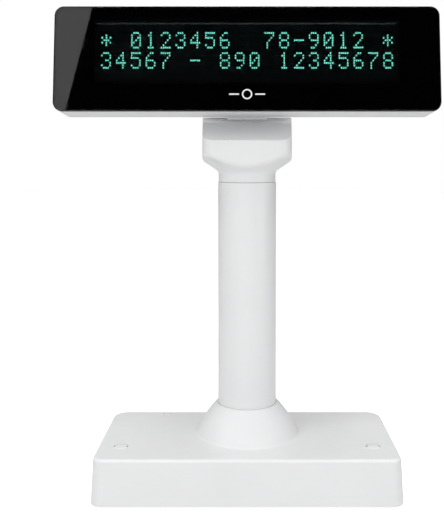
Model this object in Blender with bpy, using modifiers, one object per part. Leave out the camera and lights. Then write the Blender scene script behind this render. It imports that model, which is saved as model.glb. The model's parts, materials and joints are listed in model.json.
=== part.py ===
"""Customer pole display: a display head with two rows of twenty characters on a neck that turns
and tilts, a plain pole and a weighted base.

Metres, +Z up. The customer's side faces -Y. The origin is under the middle of the base, on the
surface that its feet stand on."""

import math

import bmesh
import bpy
from mathutils import Vector

MM = 0.001
GAP = 0.3 * MM                      # play between neighbouring pieces
OVER = 2 * MM                       # how far a cutter runs past the wall that it cuts

# Base: a moulded cover with a cone round the pole, closed by a plate on four feet
BASE_W, BASE_D = 158 * MM, 75 * MM
BASE_BOTTOM, BASE_TOP = 1.2 * MM, 24.2 * MM
BASE_WALL = 2.2 * MM
BASE_DRAFT = 1.0 * MM               # each side leans in by this much over its height
BASE_FRONT_CORNER, BASE_REAR_CORNER = 6 * MM, 8 * MM
BASE_EDGE = 1.6 * MM
CEILING = BASE_TOP - BASE_WALL
PLATE_BOTTOM, PLATE_TOP = 1.8 * MM, 3.3 * MM
FOOT_R, FOOT_H = 6 * MM, 1.5 * MM
FOOT_X, FOOT_Y = 66 * MM, 27.5 * MM
COVER_SCREWS = [(-50 * MM, -29 * MM), (50 * MM, -29 * MM), (-66 * MM, 13 * MM), (66 * MM, 13 * MM)]
ANCHOR_X, ANCHOR_Y = 66 * MM, -18.3 * MM     # holes for screwing the base to a counter
ANCHOR_CAP_R, REAR_PLUG_R = 3.7 * MM, 2.2 * MM
REAR_PLUG = (-47 * MM, 31.5 * MM)
BALLAST = (86 * MM, 44 * MM, 8 * MM)
BALLAST_Y = -8 * MM
BOSS_R, ANCHOR_TUBE_R = 3.5 * MM, 5.6 * MM
BOSS_SPAN = (PLATE_TOP + GAP, CEILING + MM)

# Cone, pole and the socket that the pole stands in
POLE_Y = 5.5 * MM                   # the pole stands a little behind the middle of the base
POLE_R, POLE_BORE_R = 16 * MM, 12.6 * MM
POLE_TOP = 161.8 * MM
CONE_TOP, CONE_TOP_R, CONE_FOOT_R = 40.6 * MM, 17.1 * MM, 28.3 * MM
CONE_BULGE = 3.4 * MM               # four times what the cone's side bows out from a straight line
CONE_WALL = 2.5 * MM
SOCKET_R, SOCKET_BORE_R, SOCKET_TOP = POLE_BORE_R - GAP, 9.5 * MM, 60 * MM
FLANGE_R, FLANGE_T = 24 * MM, 3 * MM
FLANGE_SCREW_CIRCLE = 21.6 * MM
FLANGE_BOSS_SPAN = (CEILING + 0.1 * MM, 29.8 * MM)

# Interface board, at the rear left, under the cover
BOARD_T = 1.6 * MM
PORT_X, PORT_Y = -47 * MM, 27.05 * MM
PORT_SIZE = (16 * MM, 14.5 * MM, 12.5 * MM)
PORT_FLOOR = 8.4 * MM
PORT_MOUTH = (11.8 * MM, 6.8 * MM)
PORT_DEPTH = 12 * MM
PORT_HOLE_W, PORT_HOLE_H = 13.2 * MM, 9.2 * MM
BOARD_POSTS = [(-57 * MM, 17.6 * MM), (-23 * MM, 30 * MM)]     # moulded under the cover

# Neck: turns on the pole, and carries the tilt hinge behind the head
NECK_W, NECK_REAR_W, NECK_D, NECK_CORNER = 47.4 * MM, 52.2 * MM, 40 * MM, 6.5 * MM
COLLAR_R = 15.7 * MM
COLLAR_BOTTOM = POLE_TOP + GAP
FLARE_START_Z, FLARE_ANGLE = 168.3 * MM, math.radians(34)
FLARE_FILLET = 3.5 * MM
SLOPE_FRONT_Z, SLOPE_ANGLE = 184.4 * MM, math.radians(27)
SLOPE_RUN = 26.5 * MM
SPIGOT_R, SPIGOT_BORE_R, SPIGOT_BOTTOM = 9 * MM, 5.5 * MM, 136.5 * MM
BUSH_BOTTOM, BUSH_TOP = 141.5 * MM, POLE_TOP - GAP
STOP_R_IN, STOP_R_OUT, STOP_W, STOP_H = 10.0 * MM, 12.2 * MM, 2.7 * MM, 2.1 * MM
CAVITY_X, CAVITY_BOTTOM, CAVITY_TOP = 16 * MM, 174.5 * MM, 190.8 * MM
REAR_SCREW_X, REAR_SCREW_Z = 13 * MM, 182.3 * MM

# Tilt hinge
HINGE_Y, HINGE_Z = 15.5 * MM, 207 * MM
HINGE_R, HINGE_BORE_R = 7.5 * MM, 4.6 * MM
KNUCKLE_X = 11.2 * MM               # half width of the neck's knuckle
WASHER_T = 0.5 * MM
EAR_IN, EAR_OUT = 12.3 * MM, 22.3 * MM
EAR_RECESS_R = 6 * MM
REST_TILT = math.radians(5)         # the head leans back this much as drawn

# Head, in its own frame: the hinge's axis is its origin, and it stands upright
HEAD_W, HEAD_H, HEAD_D, HEAD_CORNER = 204 * MM, 56.2 * MM, 25 * MM, 5 * MM
FACE_Y, HEAD_BOTTOM = -33.2 * MM, -10.3 * MM
HEAD_MID_Z = HEAD_BOTTOM + HEAD_H / 2
HEAD_BACK = FACE_Y + HEAD_D
PANEL_T, FRAME_T, HEAD_WALL = 2.5 * MM, 6 * MM, 2.2 * MM
FRAME_FRONT = FACE_Y + PANEL_T + GAP
FRAME_BACK = FRAME_FRONT + FRAME_T
FRAME_OPENING = (176 * MM, 46 * MM)
WINDOW, WINDOW_RISE = (163 * MM, 34 * MM), 3.8 * MM
MASK_T = 0.4 * MM
TUBE_W, TUBE_H = 174 * MM, 38 * MM                # the fluorescent display's glass
TUBE_Z = HEAD_MID_Z + WINDOW_RISE
TUBE_LID_W, TUBE_LID_H, TUBE_LID_T, TUBE_GLASS = 168 * MM, 36.4 * MM, 5 * MM, 2 * MM
HEAD_BOARD_W, HEAD_BOARD_H, HEAD_BOARD_BACK = 172 * MM, 44 * MM, -18 * MM
CASE_SCREW_X, CASE_SCREW_INSET = 94 * MM, 8 * MM
CASE_SCREWS = [
    (side * CASE_SCREW_X, z) for side in (-1, 1)
    for z in (HEAD_BOTTOM + CASE_SCREW_INSET, HEAD_BOTTOM + HEAD_H - CASE_SCREW_INSET)
]
HEAD_POSTS = [(-80 * MM, HEAD_MID_Z), (80 * MM, HEAD_MID_Z)]    # carry the control board

VENT_X, VENT_Z, VENT_W, VENT_H = 40 * MM, 31 * MM, 1.8 * MM, 15 * MM
VENT_COUNT, VENT_STEP = 8, 5 * MM

LEAD_R = 1.6 * MM
LEAD_BEND = 4 * MM                  # bend radius inside the hinge
LEAD_SPLIT_Z = 150 * MM             # where the pole's stretch of lead meets the neck's
LEAD_EXIT_X = 17.2 * MM             # where the lead turns forward, into the head


# ---------------------------------------------------------------- scene and materials

def new_collection(name):
    collection = bpy.data.collections.new(name)
    bpy.context.scene.collection.children.link(collection)
    return collection


def material(name, color, roughness, metallic=0.0):
    made = bpy.data.materials.new(name)
    made.use_nodes = True
    surface = made.node_tree.nodes["Principled BSDF"]
    surface.inputs["Base Color"].default_value = (*color, 1)
    surface.inputs["Roughness"].default_value = roughness
    surface.inputs["Metallic"].default_value = metallic
    made.diffuse_color = (*color, 1)
    return made


def pivot(name, location, tilt=0.0, parent=None):
    """An empty on a joint's axis: what moves with the joint is parented to it."""
    empty = bpy.data.objects.new(name, None)
    empty.location = location
    empty.rotation_euler = (tilt, 0, 0)
    empty.parent = parent
    PARTS.objects.link(empty)
    return empty


for old in list(bpy.data.objects):
    bpy.data.objects.remove(old)
PARTS, CUTTERS = new_collection("customer_pole_display"), new_collection("cutters")

WHITE = material("white_plastic", (0.80, 0.81, 0.82), 0.45)
ACRYLIC = material("smoked_acrylic", (0.012, 0.012, 0.014), 0.06)
BLACK_FILM = material("black_film", (0.008, 0.008, 0.008), 0.6)
GLASS = material("display_glass", (0.10, 0.13, 0.13), 0.08)
LAMINATE = material("board_laminate", (0.03, 0.20, 0.09), 0.5)
MOULDED_BLACK = material("moulded_black", (0.02, 0.02, 0.022), 0.5)
STEEL = material("zinc_steel", (0.62, 0.63, 0.65), 0.35, 1.0)
DARK_STEEL = material("painted_ballast", (0.09, 0.09, 0.10), 0.6)
TIN = material("tinned_leads", (0.72, 0.73, 0.74), 0.3, 1.0)
RUBBER = material("foot_rubber", (0.03, 0.03, 0.03), 0.85)
SHEATH = material("lead_sheath", (0.30, 0.31, 0.32), 0.55)
ACETAL = material("natural_acetal", (0.72, 0.71, 0.66), 0.4)


# ---------------------------------------------------------------- shapes

def keep(obj, name, finish=None, parent=None):
    """Names an object and files it: with the parts if it has a finish, or else as a cutter."""
    obj.name = obj.data.name = name
    obj.parent = parent
    for collection in list(obj.users_collection):
        collection.objects.unlink(obj)
    (PARTS if finish else CUTTERS).objects.link(obj)
    if finish:
        obj.data.materials.append(finish)
    else:
        obj.hide_render = True
        obj.display_type = "WIRE"
    return obj


def box(name, size, at, finish=None, parent=None):
    """A plain block; at is its centre."""
    bpy.ops.mesh.primitive_cube_add(size=1, location=at)
    obj = bpy.context.object
    obj.scale = size
    bpy.ops.object.transform_apply(location=False, rotation=False, scale=True)
    return keep(obj, name, finish, parent)


def span_box(name, x, y, z, finish=None, parent=None):
    """A plain block from its (low, high) along each axis."""
    size = [high - low for low, high in (x, y, z)]
    middle = [(high + low) / 2 for low, high in (x, y, z)]
    return box(name, size, middle, finish, parent)


TURN = {"X": (0, math.pi / 2, 0), "Y": (math.pi / 2, 0, 0), "Z": (0, 0, 0)}


def rod(name, radius, along, axis, at, finish=None, parent=None, sides=32):
    """A cylinder from along[0] to along[1] on an axis; at holds its other two coordinates."""
    middle, length = (along[0] + along[1]) / 2, abs(along[1] - along[0])
    place = {"X": (middle, *at), "Y": (at[0], middle, at[1]), "Z": (*at, middle)}[axis]
    bpy.ops.mesh.primitive_cylinder_add(
        vertices=sides, radius=radius, depth=length, location=place, rotation=TURN[axis]
    )
    obj = keep(bpy.context.object, name, finish, parent)
    smooth(obj)
    return obj


def smooth(obj):
    obj.data.shade_smooth()
    obj.data.set_sharp_from_angle(angle=math.radians(35))


def edges_along(bm, axis, test=lambda middle: True):
    """The edges that run along one axis and whose middle passes the test."""
    found = []
    for edge in bm.edges:
        run = edge.verts[1].co - edge.verts[0].co
        middle = (edge.verts[0].co + edge.verts[1].co) / 2
        if abs(run[axis]) > 0.9 * run.length and test(middle):
            found.append(edge)
    return found


def round_edges(bm, edges, radius, segments):
    bmesh.ops.bevel(
        bm, geom=edges, offset=radius, offset_type="OFFSET", segments=segments, profile=0.5,
        affect="EDGES",
    )


def rounded_block(name, x, y, z, axis, corner, finish=None, parent=None, segments=5):
    """A block whose four edges along one axis (0, 1 or 2) are rounded."""
    obj = span_box(name, x, y, z, finish, parent)
    bm = bmesh.new()
    bm.from_mesh(obj.data)
    round_edges(bm, edges_along(bm, axis), corner, segments)
    bm.to_mesh(obj.data)
    bm.free()
    smooth(obj)
    return obj


def widen_to_rear(obj, ratio):
    """Widens a block evenly from its front to its rear."""
    depths = [vert.co.y for vert in obj.data.vertices]
    front, rear = min(depths), max(depths)
    for vert in obj.data.vertices:
        vert.co.x *= 1 + (ratio - 1) * (vert.co.y - front) / (rear - front)


def turned(name, profile, at, finish=None, parent=None, steps=48, axis="Z"):
    """A body of revolution. The profile's (radius, height) points run down its outer side; one that
    doesn't start on the axis is closed into a ring."""
    points = [(radius, 0, height) for radius, height in profile]
    edges = [(i, i + 1) for i in range(len(points) - 1)]
    if profile[0][0] > 0:
        edges.append((len(points) - 1, 0))
    mesh = bpy.data.meshes.new(name)
    mesh.from_pydata(points, edges, [])
    obj = bpy.data.objects.new(name, mesh)
    bpy.context.scene.collection.objects.link(obj)
    obj.location = at
    obj.rotation_euler = TURN[axis]
    screw = obj.modifiers.new("turned", "SCREW")
    screw.steps = screw.render_steps = steps
    screw.use_merge_vertices = True
    screw.merge_threshold = 0.00005
    screw.use_smooth_shade = False
    return keep(obj, name, finish, parent)


def ring(name, inner, outer, low, high, at, finish=None, parent=None, steps=32, axis="Z"):
    profile = [(outer, high), (outer, low), (inner, low), (inner, high)]
    return turned(name, profile, at, finish, parent, steps, axis)


def boolean(target, operation, *others):
    for other in others:
        step = target.modifiers.new(f"{operation.lower()} {other.name}", "BOOLEAN")
        step.operation = operation
        step.object = other
        step.solver = "EXACT"
    return target


def cut(target, *cutters):
    return boolean(target, "DIFFERENCE", *cutters)


def join(target, *pieces):
    return boolean(target, "UNION", *pieces)


def wedge(name, outline, half_width):
    """A prism along X from an outline of (y, z) points."""
    curve = bpy.data.curves.new(name, "CURVE")
    curve.dimensions = "2D"
    curve.fill_mode = "BOTH"
    curve.extrude = half_width
    spline = curve.splines.new("POLY")
    spline.points.add(len(outline) - 1)
    for point, (y, z) in zip(spline.points, outline):
        point.co = (y, z, 0, 1)
    spline.use_cyclic_u = True
    drawn = bpy.data.objects.new(name + "_outline", curve)
    drawn.rotation_euler = (math.pi / 2, 0, math.pi / 2)
    bpy.context.scene.collection.objects.link(drawn)
    bpy.context.view_layer.update()
    return mesh_of(drawn, name)


def mesh_of(drawn, name):
    """A mesh cutter from a curve object, with its caps welded on."""
    graph = bpy.context.evaluated_depsgraph_get()
    mesh = bpy.data.meshes.new_from_object(drawn.evaluated_get(graph))
    bm = bmesh.new()
    bm.from_mesh(mesh)
    bmesh.ops.remove_doubles(bm, verts=bm.verts, dist=0.00001)
    bmesh.ops.recalc_face_normals(bm, faces=bm.faces)
    bm.to_mesh(mesh)
    bm.free()
    obj = bpy.data.objects.new(name, mesh)
    obj.matrix_world = drawn.matrix_world
    bpy.context.scene.collection.objects.link(obj)
    bpy.data.objects.remove(drawn)
    return keep(obj, name)


def screw(name, at, axis, head_up, length, head_r=2.8 * MM, head_t=1.9 * MM, shank_r=1.2 * MM,
          parent=None):
    """A pan-head screw: at is the underside of its head, and its shank runs away from the head."""
    profile = [
        (0, head_t), (0.62 * head_r, head_t), (head_r, 0.45 * head_t), (head_r, 0), (shank_r, 0),
        (shank_r, -length + shank_r), (0, -length),
    ]
    obj = turned(name, profile, at, STEEL, parent, steps=16)
    if axis == "Z":
        obj.rotation_euler = (0, 0, 0) if head_up else (math.pi, 0, 0)
    elif axis == "Y":
        obj.rotation_euler = (-math.pi / 2 if head_up else math.pi / 2, 0, 0)
    return obj


def arc(centre, start, end, sweep, steps):
    """Points on a quarter-like arc: centre + start*cos + end*sin, from 0 to sweep."""
    centre, start, end = Vector(centre), Vector(start), Vector(end)
    angles = [sweep * i / steps for i in range(steps + 1)]
    return [centre + start * math.cos(a) + end * math.sin(a) for a in angles]


def smooth_route(points, spacing):
    """Points at an even spacing along a smooth curve through a route's own points."""
    dense = []
    padded = [2 * points[0] - points[1], *points, 2 * points[-1] - points[-2]]
    for a, b, c, d in zip(padded, padded[1:], padded[2:], padded[3:]):
        for step in range(12):
            t = step / 12
            dense.append(
                0.5 * (2 * b + (c - a) * t + (2 * a - 5 * b + 4 * c - d) * t**2
                       + (3 * b - a - 3 * c + d) * t**3)
            )
    dense.append(points[-1])
    lengths = [0.0]
    for a, b in zip(dense, dense[1:]):
        lengths.append(lengths[-1] + (b - a).length)
    count = max(2, round(lengths[-1] / spacing))
    found, at = [], 0
    for i in range(count + 1):
        wanted = lengths[-1] * i / count
        while at < len(dense) - 2 and lengths[at + 1] < wanted:
            at += 1
        stretch = (wanted - lengths[at]) / (lengths[at + 1] - lengths[at])
        found.append(dense[at].lerp(dense[at + 1], min(1.0, stretch)))
    return found


def repeat(obj, count, step):
    """Repeats a cutter in a row along X."""
    row = obj.modifiers.new("row", "ARRAY")
    row.count = count
    row.use_relative_offset = False
    row.use_constant_offset = True
    row.constant_offset_displace = (step, 0, 0)


def lead(name, route, spacing, parent=None):
    """A stretch of round lead along a route."""
    curve = bpy.data.curves.new(name, "CURVE")
    curve.dimensions = "3D"
    curve.bevel_depth = LEAD_R
    curve.bevel_resolution = 2
    curve.use_fill_caps = True
    points = smooth_route([Vector(p) for p in route], spacing)
    spline = curve.splines.new("POLY")
    spline.points.add(len(points) - 1)
    for point, co in zip(spline.points, points):
        point.co = (*co, 1)
    obj = bpy.data.objects.new(name, curve)
    bpy.context.scene.collection.objects.link(obj)
    return keep(obj, name, SHEATH, parent)


# ---------------------------------------------------------------- base

def drafted_block(name, inset, bottom, top, finish=None):
    """The base's own outline, moved in by inset, between two heights, with its sides leaning in."""
    height = BASE_TOP - BASE_BOTTOM
    half_w, half_d = BASE_W / 2 - inset, BASE_D / 2 - inset
    obj = span_box(name, (-half_w, half_w), (-half_d, half_d), (bottom, top), finish)
    middle = (bottom + top) / 2
    bm = bmesh.new()
    bm.from_mesh(obj.data)
    for vert in bm.verts:
        lean = BASE_DRAFT * (vert.co.z + middle - BASE_BOTTOM) / height
        vert.co.x -= math.copysign(lean, vert.co.x)
        vert.co.y -= math.copysign(lean, vert.co.y)
    round_edges(bm, edges_along(bm, 2, lambda m: m.y < 0), BASE_FRONT_CORNER - inset, 6)
    round_edges(bm, edges_along(bm, 2, lambda m: m.y > BASE_D / 4), BASE_REAR_CORNER - inset, 6)
    if finish:
        high = max(vert.co.z for vert in bm.verts) - 1e-6
        rim = [e for e in bm.edges if all(v.co.z > high for v in e.verts)]
        round_edges(bm, rim, BASE_EDGE, 3)
    bm.to_mesh(obj.data)
    bm.free()
    smooth(obj)
    return obj


def cone_radius(z):
    """The cone's outer radius: it bows out a little between its rim and its foot."""
    drop = (CONE_TOP - z) / (CONE_TOP - BASE_TOP)
    rise = CONE_FOOT_R - CONE_TOP_R
    return CONE_TOP_R + rise * drop + CONE_BULGE * drop * (1 - drop)


def cone_solid():
    steps = 7
    heights = [CONE_TOP + (BASE_TOP - CONE_TOP) * i / steps for i in range(steps + 1)]
    profile = [(0, CONE_TOP)] + [(cone_radius(z), z) for z in heights[:-1]]
    profile += [(CONE_FOOT_R, BASE_TOP + 0.4 * MM), (CONE_FOOT_R + 0.8 * MM, BASE_TOP - 0.4 * MM)]
    profile += [(CONE_FOOT_R + 0.8 * MM, CEILING + 0.7 * MM), (0, CEILING + 0.7 * MM)]
    return turned("cone_body", profile, (0, POLE_Y, 0), steps=64)


def cone_hollow():
    """The cone's underside is hollow between its skin and the sleeve round the pole."""
    sleeve = POLE_R + GAP + CONE_WALL
    apex = CONE_TOP - 6 * MM
    profile = [
        (sleeve + 0.3 * MM, apex),
        (cone_radius(BASE_TOP + 3 * MM) - CONE_WALL, BASE_TOP + 3 * MM),
        (CONE_FOOT_R - CONE_WALL, BASE_TOP),
        (CONE_FOOT_R - CONE_WALL, CEILING - OVER),
        (sleeve, CEILING - OVER),
        (sleeve, apex),
    ]
    return turned("cone_hollow", profile, (0, POLE_Y, 0), steps=64)


def on_circle(radius, degrees):
    angle = math.radians(degrees)
    return radius * math.sin(angle), POLE_Y - radius * math.cos(angle)


FLANGE_SCREWS = [on_circle(FLANGE_SCREW_CIRCLE, degrees) for degrees in (60, 180, 300)]


def base_cover():
    cover = drafted_block("base_cover", 0, BASE_BOTTOM, BASE_TOP, WHITE)
    join(cover, cone_solid())
    cut(cover, drafted_block("base_inside", BASE_WALL, BASE_BOTTOM - OVER, CEILING))
    cut(cover, cone_hollow())
    for i, at in enumerate(COVER_SCREWS):
        join(cover, rod(f"cover_boss_{i}", BOSS_R, BOSS_SPAN, "Z", at, sides=20))
    for side in (-1, 1):
        at = (side * ANCHOR_X, ANCHOR_Y)
        join(cover, rod(f"anchor_tube_{side}", ANCHOR_TUBE_R, BOSS_SPAN, "Z", at, sides=24))
    for i, at in enumerate(BOARD_POSTS):
        join(cover, rod(f"board_post_{i}", 3 * MM, (PORT_FLOOR, CEILING + MM), "Z", at, sides=16))
    for i, at in enumerate(FLANGE_SCREWS):
        join(cover, rod(f"flange_boss_{i}", 3.2 * MM, FLANGE_BOSS_SPAN, "Z", at, sides=16))
    pole_hole = rod("pole_hole", POLE_R + GAP, (CEILING - OVER, CONE_TOP + OVER), "Z", (0, POLE_Y), sides=64)
    pole_hole.rotation_euler.z = math.pi / 64       # its corners fall between the cone's
    holes = [pole_hole]
    for i, at in enumerate(COVER_SCREWS):
        holes.append(rod(f"cover_pilot_{i}", 1.5 * MM, (PLATE_BOTTOM, 13 * MM), "Z", at, sides=12))
    for side in (-1, 1):
        at = (side * ANCHOR_X, ANCHOR_Y)
        through = (PLATE_BOTTOM, BASE_TOP + OVER)
        holes.append(rod(f"anchor_hole_{side}", ANCHOR_CAP_R + GAP, through, "Z", at, sides=24))
    for i, at in enumerate(BOARD_POSTS):
        holes.append(rod(f"board_pilot_{i}", 1.5 * MM, (PORT_FLOOR - OVER, 16 * MM), "Z", at, sides=12))
    for i, at in enumerate(FLANGE_SCREWS):
        holes.append(rod(f"flange_pilot_{i}", 1.5 * MM, (CEILING - OVER, 28 * MM), "Z", at, sides=12))
    above = (CEILING - OVER, BASE_TOP + OVER)
    holes.append(rod("rear_plug_hole", REAR_PLUG_R + GAP, above, "Z", REAR_PLUG, sides=20))
    mouth_low = PORT_FLOOR + 2.2 * MM
    holes.append(span_box(
        "port_opening", (PORT_X - PORT_HOLE_W / 2, PORT_X + PORT_HOLE_W / 2),
        (BASE_D / 2 - 6 * MM, BASE_D / 2 + OVER), (mouth_low, mouth_low + PORT_HOLE_H),
    ))
    cut(cover, *holes)


def cap(name, radius, at):
    """A round plug, slightly domed, pressed into a hole in the cover's top."""
    crown = BASE_TOP + 0.25 * MM
    profile = [
        (0, crown), (0.7 * radius, crown - 0.1 * MM), (radius, BASE_TOP - 0.25 * MM),
        (radius, CEILING + 0.4 * MM), (0, CEILING + 0.4 * MM),
    ]
    turned(name, profile, (*at, 0), WHITE, steps=24)


def base_underside():
    inset = BASE_WALL + GAP + 0.1 * MM
    plate = rounded_block(
        "base_plate", (-BASE_W / 2 + inset, BASE_W / 2 - inset), (-BASE_D / 2 + inset, BASE_D / 2 - inset),
        (PLATE_BOTTOM, PLATE_TOP), 2, BASE_REAR_CORNER - BASE_WALL + 0.6 * MM, STEEL,
    )
    through = (0, 6 * MM)
    holes = [
        rod(f"plate_hole_{i}", 1.6 * MM, through, "Z", at, sides=12) for i, at in enumerate(COVER_SCREWS)
    ]
    holes += [
        rod(f"plate_anchor_{side}", 2.6 * MM, through, "Z", (side * ANCHOR_X, ANCHOR_Y), sides=16)
        for side in (-1, 1)
    ]
    cut(plate, *holes)
    for name, x, y in (
        ("foot_front_left", -1, -1), ("foot_front_right", 1, -1),
        ("foot_rear_left", -1, 1), ("foot_rear_right", 1, 1),
    ):
        at = (x * FOOT_X, y * FOOT_Y, 0)
        profile = [
            (0, FOOT_H), (FOOT_R, FOOT_H), (FOOT_R, 0.4 * MM), (FOOT_R - 0.4 * MM, 0), (0, 0),
        ]
        turned(name, profile, at, RUBBER, steps=24)
    for i, (x, y) in enumerate(COVER_SCREWS, 1):
        screw(f"cover_screw_{i}", (x, y, PLATE_BOTTOM - 0.1 * MM), "Z", False, 9 * MM, 2.6 * MM, 1.2 * MM)
    width, depth, height = BALLAST
    rounded_block(
        "ballast_block", (-width / 2, width / 2), (BALLAST_Y - depth / 2, BALLAST_Y + depth / 2),
        (PLATE_TOP + GAP, PLATE_TOP + GAP + height), 2, 3 * MM, DARK_STEEL,
    )


def interface_board():
    """The board that the data lead plugs into, with its socket facing the rear wall."""
    bottom = PORT_FLOOR - GAP - BOARD_T
    board = span_box(
        "interface_board", (-60 * MM, -20 * MM), (14.6 * MM, 34.3 * MM), (bottom, bottom + BOARD_T), LAMINATE
    )
    cut(board, *[
        rod(f"board_hole_{i}", 1.6 * MM, (0, 12 * MM), "Z", at, sides=12) for i, at in enumerate(BOARD_POSTS)
    ])
    for i, (x, y) in enumerate(BOARD_POSTS, 1):
        at = (x, y, bottom - GAP / 2)
        screw(f"board_screw_{i}", at, "Z", False, 7 * MM, 2.4 * MM, 1.3 * MM, 1.1 * MM)
    low_y, high_y = PORT_Y - PORT_SIZE[1] / 2, PORT_Y + PORT_SIZE[1] / 2
    port = span_box(
        "data_socket", (PORT_X - PORT_SIZE[0] / 2, PORT_X + PORT_SIZE[0] / 2), (low_y, high_y),
        (PORT_FLOOR, PORT_FLOOR + PORT_SIZE[2]), MOULDED_BLACK,
    )
    mouth_low = PORT_FLOOR + 3.4 * MM
    mouth = span_box(
        "socket_mouth", (PORT_X - PORT_MOUTH[0] / 2, PORT_X + PORT_MOUTH[0] / 2),
        (high_y - PORT_DEPTH, high_y + OVER), (mouth_low, mouth_low + PORT_MOUTH[1]),
    )
    latch = span_box(
        "latch_slot", (PORT_X - 3 * MM, PORT_X + 3 * MM), (high_y - 6 * MM, high_y + OVER),
        (PORT_FLOOR + 1.8 * MM, mouth_low + MM),
    )
    cut(port, mouth, latch)
    box("board_plug", (8 * MM, 6 * MM, 5 * MM), (-27 * MM, 22 * MM, PORT_FLOOR + 2.8 * MM), MOULDED_BLACK)


# ---------------------------------------------------------------- pole

def pole():
    ring("pole_tube", POLE_BORE_R, POLE_R, CEILING, POLE_TOP, (0, POLE_Y, 0), WHITE, steps=64)
    flange_top = CEILING - GAP
    profile = [
        (SOCKET_R - MM, SOCKET_TOP), (SOCKET_R, SOCKET_TOP - MM), (SOCKET_R, flange_top),
        (FLANGE_R, flange_top), (FLANGE_R, flange_top - FLANGE_T),
        (SOCKET_BORE_R, flange_top - FLANGE_T), (SOCKET_BORE_R, SOCKET_TOP),
    ]
    socket = turned("pole_socket", profile, (0, POLE_Y, 0), ACETAL, steps=32)
    below = flange_top - FLANGE_T - OVER
    cut(socket, *[
        rod(f"flange_hole_{i}", 1.6 * MM, (below, CEILING + OVER), "Z", at, sides=12)
        for i, at in enumerate(FLANGE_SCREWS)
    ])
    for i, (x, y) in enumerate(FLANGE_SCREWS, 1):
        screw(f"flange_screw_{i}", (x, y, flange_top - FLANGE_T - GAP / 2), "Z", False, 8.4 * MM, 2.6 * MM)
    inner, outer = SPIGOT_R + GAP, POLE_BORE_R - GAP
    bush = ring("swivel_bush", inner, outer, BUSH_BOTTOM, BUSH_TOP, (0, POLE_Y, 0), ACETAL, steps=40)
    stop = span_box(
        "swivel_stop", (-STOP_W / 2, STOP_W / 2), (POLE_Y - STOP_R_OUT + 0.2 * MM, POLE_Y - STOP_R_IN),
        (BUSH_TOP - MM, COLLAR_BOTTOM + STOP_H - GAP),
    )
    join(bush, stop)


def pole_lead():
    z = 14.6 * MM
    route = [
        (-22.7 * MM, 22 * MM, PORT_FLOOR + 2.8 * MM), (-19 * MM, 21.2 * MM, 11.8 * MM),
        (-14 * MM, LEAD_EXIT_X, z), (-9 * MM, 12.8 * MM, z), (-4.6 * MM, 9.2 * MM, z + 0.8 * MM),
        (-1.3 * MM, 6.6 * MM, z + 4 * MM), (0, POLE_Y, z + 9 * MM), (0, POLE_Y, z + 18 * MM),
        (0, POLE_Y, 90 * MM), (0, POLE_Y, LEAD_SPLIT_Z - 18 * MM), (0, POLE_Y, LEAD_SPLIT_Z),
    ]
    lead("lead_pole", route, 3.4 * MM)


# ---------------------------------------------------------------- neck

def neck_profile():
    """The neck's turned shape, from the flare down to the spigot that turns in the pole."""
    slope = math.tan(FLARE_ANGLE)
    widest, ceiling = 45 * MM, 200 * MM
    start_r = COLLAR_R + 0.6 * MM
    fillet_end = start_r + FLARE_FILLET * 0.55
    foot = FLARE_START_Z - FLARE_FILLET * 0.65
    clip_low, clip_high = SPIGOT_BOTTOM + 2.3 * MM, SPIGOT_BOTTOM + 3.8 * MM
    return [
        (0, ceiling), (widest, ceiling), (widest, FLARE_START_Z + (widest - start_r) * slope),
        (fillet_end, FLARE_START_Z + (fillet_end - start_r) * slope),
        (start_r + 0.2 * MM, FLARE_START_Z - 0.35 * MM),
        (COLLAR_R + 0.15 * MM, foot + 0.9 * MM), (COLLAR_R, foot), (COLLAR_R, COLLAR_BOTTOM),
        (SPIGOT_R, COLLAR_BOTTOM), (SPIGOT_R, clip_high), (SPIGOT_R - 0.8 * MM, clip_high),
        (SPIGOT_R - 0.8 * MM, clip_low), (SPIGOT_R, clip_low), (SPIGOT_R, SPIGOT_BOTTOM),
        (0, SPIGOT_BOTTOM),
    ]


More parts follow.
